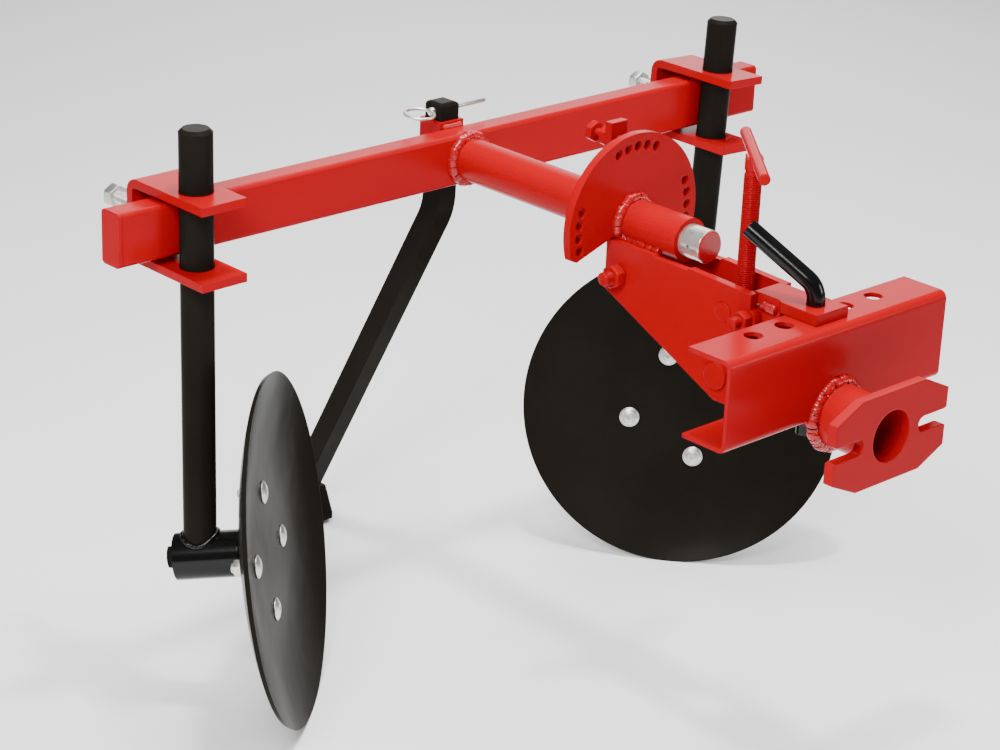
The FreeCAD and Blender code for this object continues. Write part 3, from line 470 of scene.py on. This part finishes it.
def drill(piece, flats, deep, top, sides=6):
    """Sink a recess of a few sides into the top of a piece."""
    start()
    bpy.ops.mesh.primitive_cylinder_add(vertices=sides, radius=flats / math.sqrt(3),
                                        depth=2 * deep, location=(0, 0, top))
    bit = settle(bpy.context.object)
    modify(piece, "BOOLEAN", operation="DIFFERENCE", object=bit, solver="EXACT")
    bpy.data.objects.remove(bit)
    return piece


def thread(radius, pitch, length, base=0.0, steps=24):
    """A raised helical thread to wind round a bar's core, on local Z from base upwards."""
    depth = 0.6 * pitch
    start()
    bpy.ops.mesh.primitive_plane_add(size=1.0, location=(radius - depth / 2, 0, base),
                                     rotation=(math.pi / 2, 0, 0))
    tooth = bpy.context.object
    tooth.scale = (depth, 0.96 * pitch, 1.0)
    settle(tooth)
    choose(tooth, "VERT", lambda point: point.co.x > radius - depth / 2)
    bpy.ops.transform.resize(value=(1, 1, 0.22), center_override=(radius, 0, base))
    bpy.ops.mesh.select_all(action="SELECT")
    bpy.ops.mesh.delete(type="ONLY_FACE")
    bpy.ops.object.mode_set(mode="OBJECT")
    modify(tooth, "SCREW", screw_offset=pitch, iterations=int(length / pitch), steps=steps,
           render_steps=steps, angle=2 * math.pi)
    choose(tooth, "VERT", lambda point: True)
    bpy.ops.mesh.fill_holes(sides=4)
    bpy.ops.mesh.select_all(action="SELECT")
    bpy.ops.mesh.normals_make_consistent(inside=False)
    bpy.ops.object.mode_set(mode="OBJECT")
    return smooth(tooth, 30.0)


def threaded_bar(radius, pitch, length, base=0.0, plain=0.0):
    """A bar threaded from base upwards, with a plain length left at the top."""
    core = smooth(round_bar(radius - 0.5 * pitch, length - plain / 2, base, 0.4 * pitch))
    run = thread(radius, pitch, length - plain - pitch, base + pitch / 2)
    pieces = [core, run]
    if plain:
        pieces.append(smooth(round_bar(radius, plain, base + length - plain, 0.3 * pitch)))
    return join("threaded_bar", pieces)


# ---------------------------------------------------------------- weld beads
def ring_path(centre, axis, radius, spacing, begin=0.0, sweep=360.0):
    """Points round a circle, or round an arc of it."""
    first, second = across(axis)
    count = max(8, int(math.radians(sweep) * radius / spacing))
    points = []
    for i in range(count + (0 if sweep >= 360 else 1)):
        turn = math.radians(begin + sweep * i / count)
        points.append(centre + radius * (math.cos(turn) * first + math.sin(turn) * second))
    return points


def straight_path(first, last, spacing):
    count = max(2, int((last - first).length / spacing))
    return [first.lerp(last, i / count) for i in range(count + 1)]


def saddle_path(centre, hub, upright, bar_radius, hub_radius, spacing):
    """The line on which a round upright meets a round hub tube."""
    first, second = across(upright)
    slant = upright.dot(hub)
    count = int(2 * math.pi * bar_radius / spacing)
    points = []
    for i in range(count):
        turn = 2 * math.pi * i / count
        out = bar_radius * (math.cos(turn) * first + math.sin(turn) * second)
        a, b = 1 - slant ** 2, out.dot(upright) - out.dot(hub) * slant
        c = out.length_squared - out.dot(hub) ** 2 - hub_radius ** 2
        height = (-b + math.sqrt(b * b - a * c)) / a
        points.append(centre + out + height * upright)
    return points


def bead(name, points, size, closed, seed=1):
    """A weld bead: a tube along a path, swelling at each overlapping ripple of the weld pool."""
    dice = random.Random(seed)
    line = bpy.data.curves.new(name, "CURVE")
    line.dimensions, line.bevel_resolution = "3D", 3
    line.bevel_depth = size
    run = line.splines.new("POLY")
    run.points.add(len(points) - 1)
    run.use_cyclic_u = closed
    line.use_fill_caps = not closed
    phase, swell, stray = 0.0, 1.0, Vector((0, 0, 0))
    for i, (spot, point) in enumerate(zip(run.points, points)):
        phase += RIPPLE_STEP
        if phase >= 1.0:
            phase -= dice.uniform(0.9, 1.1)
            swell = dice.uniform(0.90, 1.08)
            stray = Vector([dice.uniform(-0.06, 0.06) * size for _ in range(3)])
        spot.co = (*(Vector(point) + stray), 1.0)
        tail = 1.0 if closed else min(1.0, 0.35 + 0.2 * min(i, len(points) - 1 - i))
        spot.radius = tail * swell * (0.90 + 0.12 * math.sqrt(max(phase, 0.0)))
    holder = bpy.data.objects.new(name, line)
    bpy.context.collection.objects.link(holder)
    pick(holder)
    bpy.ops.object.convert(target="MESH")
    return smooth(bpy.context.object, 60.0)


# ---------------------------------------------------------------- settings
class RidgerFinishes(bpy.types.PropertyGroup):
    red: bpy.props.FloatVectorProperty(
        name="Red enamel", description="Colour of the sprayed frame", subtype="COLOR", size=3,
        min=0, max=1, default=(0.37, 0.0005, 0.005))
    red_deep: bpy.props.FloatVectorProperty(
        name="Red enamel, deep", description="Where the enamel lies thicker", subtype="COLOR",
        size=3, min=0, max=1, default=(0.32, 0.0004, 0.004))
    black: bpy.props.FloatVectorProperty(
        name="Black enamel", description="Colour of the hinge pin and the hub tubes",
        subtype="COLOR", size=3, min=0, max=1, default=(0.0045, 0.0042, 0.004))
    satin: bpy.props.FloatVectorProperty(
        name="Satin black", description="Colour of the discs, shanks and tine", subtype="COLOR",
        size=3, min=0, max=1, default=(0.0125, 0.0108, 0.0086))
    zinc: bpy.props.FloatVectorProperty(
        name="Zinc plating", description="Colour of the bolts", subtype="COLOR", size=3, min=0,
        max=1, default=(0.74, 0.74, 0.71))
    steel: bpy.props.FloatVectorProperty(
        name="Ground steel", description="Colour of the bare shaft", subtype="COLOR", size=3,
        min=0, max=1, default=(0.80, 0.77, 0.72))


class RidgerCamera(bpy.types.PropertyGroup):
    azimuth: bpy.props.FloatProperty(
        name="Azimuth", description="Turn of the view about Z, in degrees", default=-43.72)
    elevation: bpy.props.FloatProperty(
        name="Elevation", description="Height of the view, in degrees", default=22.26)
    roll: bpy.props.FloatProperty(
        name="Roll", description="Lean of the camera, in degrees", default=2.435)
    distance: bpy.props.FloatProperty(
        name="Distance", description="From the roll axis to the camera", default=3.199,
        unit="LENGTH")
    across: bpy.props.FloatProperty(
        name="Across", description="Camera moved to its right", default=0.0586, unit="LENGTH")
    up: bpy.props.FloatProperty(
        name="Up", description="Camera moved upwards", default=-0.2593, unit="LENGTH")
    lens: bpy.props.FloatProperty(
        name="Lens", description="Focal length in millimetres", default=96.93)


# ---------------------------------------------------------------- operators
class RIDGER_OT_finishes(bpy.types.Operator):
    """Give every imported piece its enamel, plating or bare steel"""
    bl_idname = "ridger.finishes"
    bl_label = "Finish the Packed Pieces"

    def execute(self, context):
        looks = context.scene.ridger_finishes
        red = gloss_paint("red_enamel", rgb(looks.red), rgb(looks.red_deep), 0.18, 0.055, 0.0018)
        black = gloss_paint("black_enamel", rgb(looks.black), rgb(0.6 * c for c in looks.black),
                            0.10, 0.24, 0.0011)
        satin = satin_paint("satin_black", rgb(looks.satin), rgb(0.6 * c for c in looks.satin))
        gloss_paint("red_bead", rgb(looks.red), rgb(looks.red_deep), 0.14, 0.4, 0.0004,
                    0.00045)
        gloss_paint("black_bead", rgb(looks.black), rgb(0.6 * c for c in looks.black), 0.18, 0.3,
                    0.0004)
        zinc = zinc_plate("zinc_plate", rgb(looks.zinc))
        shaft_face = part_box("roll_shaft")[0][1]
        steel = turned_steel("turned_steel", rgb(looks.steel), rgb(looks.red), shaft_face, 0.0012)
        finish = {"red_paint": red, "black_paint": black, "zinc": zinc, "bare_steel": steel}
        for part in frame["record"]["subparts"]:
            dress([part["node"]], finish[part["material_slot"]])
        dress(["disc_left", "disc_right", "axle_left", "axle_right", "shank_left", "shank_right",
               "tine", "share"], satin)
        return {"FINISHED"}


class RIDGER_OT_spindle(bpy.types.Operator):
    """Model the threaded spindle that sets the working depth"""
    bl_idname = "ridger.spindle"
    bl_label = "Spindle"

    def execute(self, context):
        foot, top = low("spindle_screw").z, high("spindle_screw").z
        radius = (high("spindle_screw").x - low("spindle_screw").x) / 2
        centre = middle("spindle_screw")
        shaft = threaded_bar(radius, SPINDLE_PITCH, top - foot - 0.003, 0.003, SPINDLE_PLAIN)
        tip = round_bar(0.9 * radius, 0.0075, FOOT_LIFT)
        modify(tip, "BEVEL", width=0.0024, segments=5, limit_method="ANGLE")
        screw = join("spindle_thread", [shaft, smooth(tip)])
        settle(screw, Matrix.Translation((centre.x, centre.y, foot)))
        hand_over(screw, finish_named("red_enamel"), "red_paint", "spindle", "spindle_screw")
        hand_over(self.handle_weld(top), finish_named("red_bead"), "red_paint", "spindle")
        return {"FINISHED"}

    def handle_weld(self, top):
        """Two beads that hold the cross handle on the end of the screw."""
        centre, lie = middle("spindle_handle"), lie_of("spindle_handle")
        side = Vector((-lie.y, lie.x, 0))
        runs = []
        for seed, sign in enumerate((-1, 1)):
            place = Vector((centre.x, centre.y, top)) + sign * 0.0066 * side
            points = straight_path(place - 0.0075 * lie, place + 0.0075 * lie, STITCH)
            runs.append(bead("handle_weld", points, BEAD_HANDLE, False, 31 + seed))
        return join("handle_weld", runs)


def lie_of(node):
    """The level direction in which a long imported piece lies."""
    centre = middle(node)
    outs = [point.co - centre for point in NODES[node].data.vertices]
    xx, yy = sum(out.x ** 2 for out in outs), sum(out.y ** 2 for out in outs)
    turn = math.atan2(2 * sum(out.x * out.y for out in outs), xx - yy) / 2
    return Vector((math.cos(turn), math.sin(turn), 0))


class RIDGER_OT_clamp_bolts(bpy.types.Operator):
    """Model the zinc plated set bolts of the two clamps"""
    bl_idname = "ridger.clamp_bolts"
    bl_label = "Clamp Bolts"

    def execute(self, context):
        for side in SIDES:
            node = "clamp_bolt_" + side
            first, last, centre = low(node), high(node), middle(node)
            foot = last.y - first.y - HEAD_INSET - CLAMP_HEAD
            stem = threaded_bar(CLAMP_BOLT / 2, CLAMP_PITCH, foot + 0.0005)
            head = hex_block(HEX_FLATS * CLAMP_BOLT, CLAMP_HEAD, foot, True)
            flat = TURNED_FACE * HEX_FLATS * CLAMP_BOLT
            step_top(head, flat, [(0.80 * flat, 0.0), (0.76 * flat, -CUP_DEPTH),
                                  (0.3 * flat, 0.0)])
            bolt = join("set_bolt_" + side, [stem, smooth(head, 20.0)])
            settle(bolt, towards((0, 1, 0), (centre.x, first.y, centre.z)))
            hand_over(bolt, finish_named("zinc_plate"), "zinc", "clamp_" + side, node)
        return {"FINISHED"}


class RIDGER_OT_disc_bolts(bpy.types.Operator):
    """Model the round-headed bolts that hold the discs, with their nuts"""
    bl_idname = "ridger.disc_bolts"
    bl_label = "Disc Bolts"

    def execute(self, context):
        for side in SIDES:
            node, joint = "disc_bolts_" + side, "disc_spin_" + side
            centre, axis = pivot(joint), way(joint)
            if (middle("disc_" + side) - centre).dot(axis) < 0:
                axis = -axis
            behind, front = reach(node, centre, axis)
            bolt = disc_bolt(front - behind - DISC_DOME)
            face = centre + (front - DISC_DOME) * axis
            bolts = [copy_at(bolt, towards(axis, face + out))
                     for out in ring_of_four(node, centre, axis)]
            bpy.data.objects.remove(bolt)
            bolts = join("disc_fixings_" + side, bolts)
            hand_over(bolts, finish_named("zinc_plate"), "zinc", "disc_" + side, node)
        return {"FINISHED"}


def reach(node, centre, axis):
    """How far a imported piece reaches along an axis, from its back to its front."""
    along = [(point.co - centre).dot(axis) for point in NODES[node].data.vertices]
    return min(along), max(along)


def ring_of_four(node, centre, axis):
    """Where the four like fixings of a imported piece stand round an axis."""
    first, second = across(axis)
    outs = [point.co - centre for point in NODES[node].data.vertices]
    flat = [(out.dot(first), out.dot(second)) for out in outs]
    radii = [math.hypot(a, b) for a, b in flat]
    radius = (min(radii) + max(radii)) / 2
    turns = [4 * math.atan2(b, a) for a, b in flat]
    phase = math.atan2(sum(map(math.sin, turns)), sum(map(math.cos, turns))) / 4
    return [radius * (math.cos(phase + i * math.pi / 2) * first
                      + math.sin(phase + i * math.pi / 2) * second) for i in range(4)]


def disc_bolt(reach_back):
    """One bolt on local Z: a low domed head with a ringed rim above 0, and its nut below."""
    head = round_bar(DISC_HEAD / 2, 0.0016, 0.0, 0.0005)
    step_top(head, DISC_HEAD / 2 - 0.0005, [
        (0.0118, 0.0006), (0.0100, 0.0010), (0.0082, 0.0008), (0.0078, -0.0004),
        (0.0073, 0.0), (0.0069, 0.0004), (0.0050, 0.0005), (0.0040, 0.0001)])
    drill(head, 0.0058, 0.0022, DISC_DOME - 0.0004)
    stem = threaded_bar(DISC_BOLT / 2, DISC_PITCH, reach_back, -reach_back)
    nut_base = -(reach_back - 0.3 * DISC_BOLT)
    nut = hex_block(HEX_FLATS * DISC_BOLT, 0.8 * DISC_BOLT, nut_base, True)
    return join("disc_bolt", [smooth(head, 25.0), stem, smooth(nut, 20.0)])


class RIDGER_OT_arm_bolts(bpy.types.Operator):
    """Model the enamelled bolts of the arm, the swivel head and the sector"""
    bl_idname = "ridger.arm_bolts"
    bl_label = "Arm Bolts"

    def execute(self, context):
        red = finish_named("red_enamel")
        for node, thickness in (("tie_bolt", TIE_BOLT), ("pitch_bolt", PITCH_BOLT)):
            first, last, centre = low(node), high(node), middle(node)
            bolt = cross_bolt(thickness, last.x - first.x)
            settle(bolt, towards((1, 0, 0), (first.x, centre.y, centre.z)))
            bolt.name = bolt.data.name = node.replace("bolt", "fixing")
            hand_over(bolt, red, "red_paint", "arm", node)
        first, last, centre = low("index_bolt"), high("index_bolt"), middle("index_bolt")
        bolt = index_bolt(last.y - first.y, high("index_lug").y - first.y)
        settle(bolt, towards((0, 1, 0), (centre.x, first.y, centre.z)))
        hand_over(bolt, red, "red_paint", "beam", "index_bolt")
        return {"FINISHED"}


def cross_bolt(thickness, long):
    """A bolt on local Z: nut and rounded end at the bottom, head at the top."""
    head_tall, nut_tall = 0.65 * thickness, 0.85 * thickness
    grip = long - 1.6 * thickness - head_tall
    stem = threaded_bar(thickness / 2, 0.12 * thickness, long - head_tall, 0.0, grip)
    head = hex_block(HEX_FLATS * thickness, head_tall, long - head_tall)
    nut = hex_block(HEX_FLATS * thickness, nut_tall, long - head_tall - grip - nut_tall, True)
    return join("cross_bolt", [stem, smooth(head, 20.0), smooth(nut, 20.0)])


def index_bolt(long, nut_base):
    """The locking bolt on local Z: rounded pin, lock nut on the lug, chamfered head on top."""
    across_flats, head_tall = 0.021, 0.009
    nut_flats, nut_tall, pin_radius = 0.0225, 0.012, 0.005
    nut = hex_block(nut_flats, nut_tall, nut_base, True)
    pin = round_bar(pin_radius, long - head_tall + 0.0005, 0.0, 0.0015)
    head = hex_block(across_flats, head_tall, long - head_tall, True)
    flat = TURNED_FACE * across_flats
    step_top(head, flat, [(0.7 * flat, 0.0), (0.66 * flat, -CUP_DEPTH), (0.3 * flat, 0.0)])
    return join("locking_bolt", [smooth(pin), smooth(head, 20.0), smooth(nut, 20.0)])


class RIDGER_OT_linch_pin(bpy.types.Operator):
    """Model the linch pin with its sprung wire ring"""
    bl_idname = "ridger.linch_pin"
    bl_label = "Linch Pin"

    def execute(self, context):
        first, last, centre = low("linch_pin"), high("linch_pin"), middle("linch_pin")
        wire, rod_radius, collar_radius = 0.0019, 0.003, 0.0048
        ring_radius = (last.y - first.y) / 2 - wire
        ring_centre = Vector((first.x + ring_radius + wire, centre.y, centre.z))
        start()
        bpy.ops.mesh.primitive_torus_add(major_radius=ring_radius, minor_radius=wire,
                                         major_segments=72, minor_segments=16)
        ring = settle(bpy.context.object)
        choose(ring, "VERT", lambda point: point.co.x > 0)
        bpy.ops.transform.resize(value=(0.94, 1, 1), center_override=(0, 0, 0))
        bpy.ops.object.mode_set(mode="OBJECT")
        settle(ring, Matrix.Translation(ring_centre) @ Matrix.Rotation(math.radians(4), 4, "X"))
        eye = first.x + 2 * ring_radius
        long = last.x - eye
        rod = round_bar(rod_radius, long, 0.0, 0.0008)
        collar = round_bar(collar_radius, 0.011, -0.001, 0.0012)
        rod = join("linch_rod", [smooth(rod), smooth(collar)])
        settle(rod, towards((1, 0, 0), (eye, centre.y, centre.z)))
        pin = join("linch_pin_and_ring", [rod, smooth(ring, 60.0)])
        hand_over(pin, finish_named("zinc_plate"), "zinc", "tine", "linch_pin")
        return {"FINISHED"}


class RIDGER_OT_welds(bpy.types.Operator):
    """Lay the weld beads round the tubes, lugs and plates"""
    bl_idname = "ridger.welds"
    bl_label = "Weld Beads"

    def execute(self, context):
        for name, body, runs in (
                ("beam_welds", "beam", beam_runs()), ("arm_welds", "arm", arm_runs()),
                ("coupling_welds", "hitch", coupling_runs()), ("head_welds", "head", head_runs())):
            beads = [bead(name, points, size, closed, seed)
                     for seed, (points, size, closed) in enumerate(runs)]
            hand_over(join(name, beads), finish_named("red_bead"), "red_paint", body)
        for side in SIDES:
            points = shank_foot(side)
            weld = bead("shank_weld_" + side, points, BEAD_SHANK, True, 11)
            hand_over(weld, finish_named("black_bead"), "black_paint", "shank_" + side)
        return {"FINISHED"}


def beam_runs():
    """Neck tube to toolbar, lug to neck tube, and socket to toolbar."""
    axle = pivot("roll")
    front, neck = low("toolbar").y, high("neck_tube")
    radius = neck.x - axle.x
    centre = Vector((axle.x, front - SEAT, axle.z))
    runs = [(ring_path(centre, Vector((0, 1, 0)), radius + SEAT, STITCH), BEAD_TUBE, True)]
    lug, lug_end = low("index_lug"), high("index_lug")
    for y in (lug.y - STAND_OFF, lug_end.y + STAND_OFF):
        foot = Vector((axle.x, y, axle.z))
        spread = math.degrees(math.asin((lug_end.x - lug.x) / 2 / radius))
        points = ring_path(foot, Vector((0, 1, 0)), radius + STAND_OFF, STITCH,
                           up_angle(Vector((0, 1, 0))) - spread, 2 * spread)
        runs.append((points, BEAD_SMALL, False))
    bar_back, socket_low, socket_high = high("toolbar").y, low("tine_socket"), high("tine_socket")
    bar_low, bar_high = low("toolbar").z, high("toolbar").z
    for x in (socket_low.x - STAND_OFF, socket_high.x + STAND_OFF):
        points = straight_path(Vector((x, bar_back + STAND_OFF, bar_low + 0.004)),
                               Vector((x, bar_back + STAND_OFF, bar_high - 0.004)), STITCH)
        runs.append((points, BEAD_SMALL, False))
    y, z = bar_back - 0.0005, bar_high + STAND_OFF
    points = straight_path(Vector((socket_low.x + 0.003, y, z)),
                           Vector((socket_high.x - 0.003, y, z)), STITCH)
    runs.append((points, BEAD_SOCKET_TOP, False))
    return runs


def up_angle(axis):
    """The angle round an axis, in ring_path's turn, at which a ring is highest."""
    first, second = across(axis)
    return math.degrees(math.atan2(second.z, first.z))


def arm_runs():
    """Sleeve to sector, and sleeve to side plates."""
    axle = pivot("roll")
    face, sleeve = low("index_sector").y, low("sleeve")
    radius = axle.x - sleeve.x
    ring = ring_path(Vector((axle.x, face - SEAT, axle.z)), Vector((0, 1, 0)),
                     radius + SEAT, STITCH)
    runs = [(ring, BEAD_SLEEVE, True)]
    for plate, sign in (("side_plate_left", -1), ("side_plate_right", 1)):
        ends = [rest_on(plate, y, axle, radius, sign)
                for y in (face - 0.002, sleeve.y + 0.28 * (face - sleeve.y))]
        runs.append((straight_path(*ends, STITCH), BEAD_PLATE, False))
    return runs


def rest_on(plate, y, axle, radius, sign):
    """The corner between the top edge of a side plate and the sleeve, at one station."""
    tops = sorted((point.co for point in NODES[plate].data.vertices
                   if point.co.z > axle.z - 0.035), key=lambda spot: -spot.y)
    back = max((spot for spot in tops if spot.y > tops[0].y - 0.0005), key=lambda spot: spot.z)
    front = max(tops, key=lambda spot: (spot.y < back.y - 0.02) * spot.z)
    along = (y - back.y) / (front.y - back.y)
    z = back.z + along * (front.z - back.z)
    reach_out = math.sqrt(max(radius ** 2 - (axle.z - z) ** 2, 0.0))
    return Vector((axle.x + sign * (reach_out + PLATE_OFF), y, z + PLATE_RISE))


def coupling_runs():
    """Coupling tube to channel and to flange."""
    axis = Vector((0, 1, 0))
    centre = middle("coupling_tube")
    radius = high("coupling_tube").x - centre.x
    web, flange = low("coupling_channel").y, high("coupling_flange").y
    at_web = Vector((centre.x, web - SEAT, centre.z))
    at_flange = Vector((centre.x, flange + 0.001, centre.z))
    return [(ring_path(at_web, axis, radius + SEAT, STITCH), BEAD_TUBE, True),
            (ring_path(at_flange, axis, radius + STAND_OFF, STITCH), BEAD_FLANGE, True)]


def head_runs():
    """Swivel post to the lugs."""
    post_low, post_high = low("swivel_post"), high("swivel_post")
    runs = []
    for z in (low("swivel_upper_lug").z - POST_OFF, high("swivel_lower_lug").z + POST_OFF):
        for x in (post_low.x - POST_OFF, post_high.x + POST_OFF):
            points = straight_path(Vector((x, post_low.y + 0.003, z)),
                                   Vector((x, post_high.y - 0.003, z)), STITCH)
            runs.append((points, BEAD_POST, False))
    return runs


def shank_foot(side):
    """The saddle on which a shank meets its hub tube."""
    hub, upright = way("disc_spin_" + side), way("shank_turn_" + side)
    centre = pivot("disc_spin_" + side)
    return saddle_path(centre, hub, upright, SHANK / 2 + STAND_OFF,
                       HUB_TUBE / 2 + STAND_OFF, STITCH)


class RIDGER_OT_stage(bpy.types.Operator):
    """Set up the floor, the soft lights and the camera"""
    bl_idname = "ridger.stage"
    bl_label = "Stage"

    def execute(self, context):
        floor()
        lights()
        camera(context.scene.ridger_camera)
        return {"FINISHED"}


def floor():
    bpy.ops.object.select_all(action="DESELECT")
    bpy.ops.mesh.primitive_plane_add(size=30.0)
    ground = bpy.context.object
    ground.name = "floor"
    paper = Finish("pale_floor")
    tone = paper.noise(3.0, 2.0, 0.5)
    ground.data.materials.append(paper.set(
        Base_Color=paper.blend(tone, rgb((0.93, 0.93, 0.93)), rgb((0.96, 0.96, 0.96))),
        Roughness=0.7))


def lights():
    """Six softboxes and a pale surround."""
    world = bpy.data.worlds.new("surround")
    world.use_nodes = True
    world.node_tree.nodes["Background"].inputs[0].default_value = (1.0, 1.0, 1.0, 1.0)
    world.node_tree.nodes["Background"].inputs[1].default_value = 0.14
    bpy.context.scene.world = world
    softbox("key", (-2.2, -1.2, 2.4), 1.2, 125.0)
    softbox("top", (0.5, 0.2, 3.2), 2.4, 140.0)
    softbox("strip", (-0.2, -0.3, 3.0), 0.2, 45.0)
    softbox("fill", (2.0, -2.9, 1.3), 1.2, 42.0)
    softbox("side", (-3.0, 0.6, 1.1), 1.6, 16.0)
    softbox("back", (2.3, 2.4, 1.8), 2.4, 44.0)


def softbox(name, place, size, power):
    lamp = bpy.data.lights.new(name, "AREA")
    lamp.size, lamp.energy = size, power
    holder = bpy.data.objects.new(name, lamp)
    bpy.context.collection.objects.link(holder)
    aim = (Vector((0.0, 0.0, 0.4)) - Vector(place)).to_track_quat("-Z", "Y")
    holder.matrix_world = Matrix.Translation(place) @ aim.to_matrix().to_4x4()


def camera(view):
    """The camera looks at the roll axis where it crosses the toolbar."""
    target = middle("toolbar")
    turn, rise, roll = (math.radians(a) for a in (view.azimuth, view.elevation, view.roll))
    back = Vector((math.sin(turn) * math.cos(rise), -math.cos(turn) * math.cos(rise),
                   math.sin(rise)))
    right = Vector((math.cos(turn), math.sin(turn), 0.0))
    up = back.cross(right)
    place = target + back * view.distance + right * view.across + up * view.up
    leaned_right = right * math.cos(roll) + up * math.sin(roll)
    leaned_up = up * math.cos(roll) - right * math.sin(roll)
    eye = bpy.data.cameras.new("camera")
    eye.lens, eye.sensor_width = view.lens, 36.0
    holder = bpy.data.objects.new("camera", eye)
    bpy.context.collection.objects.link(holder)
    axes = Matrix((leaned_right, leaned_up, back)).transposed().to_4x4()
    holder.matrix_world = Matrix.Translation(place) @ axes
    bpy.context.scene.camera = holder


class RIDGER_PT_panel(bpy.types.Panel):
    """Lists the disc ridger's operators"""
    bl_label = "Disc Ridger"
    bl_idname = "RIDGER_PT_panel"
    bl_space_type = "VIEW_3D"
    bl_region_type = "UI"
    bl_category = "Disc Ridger"

    def draw(self, context):
        for operator in OPERATORS:
            self.layout.operator(operator.bl_idname)


GROUPS = (RidgerFinishes, RidgerCamera)
OPERATORS = (RIDGER_OT_finishes, RIDGER_OT_spindle, RIDGER_OT_clamp_bolts, RIDGER_OT_disc_bolts,
             RIDGER_OT_arm_bolts, RIDGER_OT_linch_pin, RIDGER_OT_welds, RIDGER_OT_stage)


def register():
    for thing in GROUPS + OPERATORS + (RIDGER_PT_panel,):
        bpy.utils.register_class(thing)
    bpy.types.Scene.ridger_finishes = bpy.props.PointerProperty(type=RidgerFinishes)
    bpy.types.Scene.ridger_camera = bpy.props.PointerProperty(type=RidgerCamera)


def unregister():
    del bpy.types.Scene.ridger_camera
    del bpy.types.Scene.ridger_finishes
    for thing in reversed(GROUPS + OPERATORS + (RIDGER_PT_panel,)):
        bpy.utils.unregister_class(thing)


def main():
    register()
    for operator in OPERATORS:
        section, name = operator.bl_idname.split(".")
        getattr(getattr(bpy.ops, section), name)()


if __name__ == "__main__":
    main()
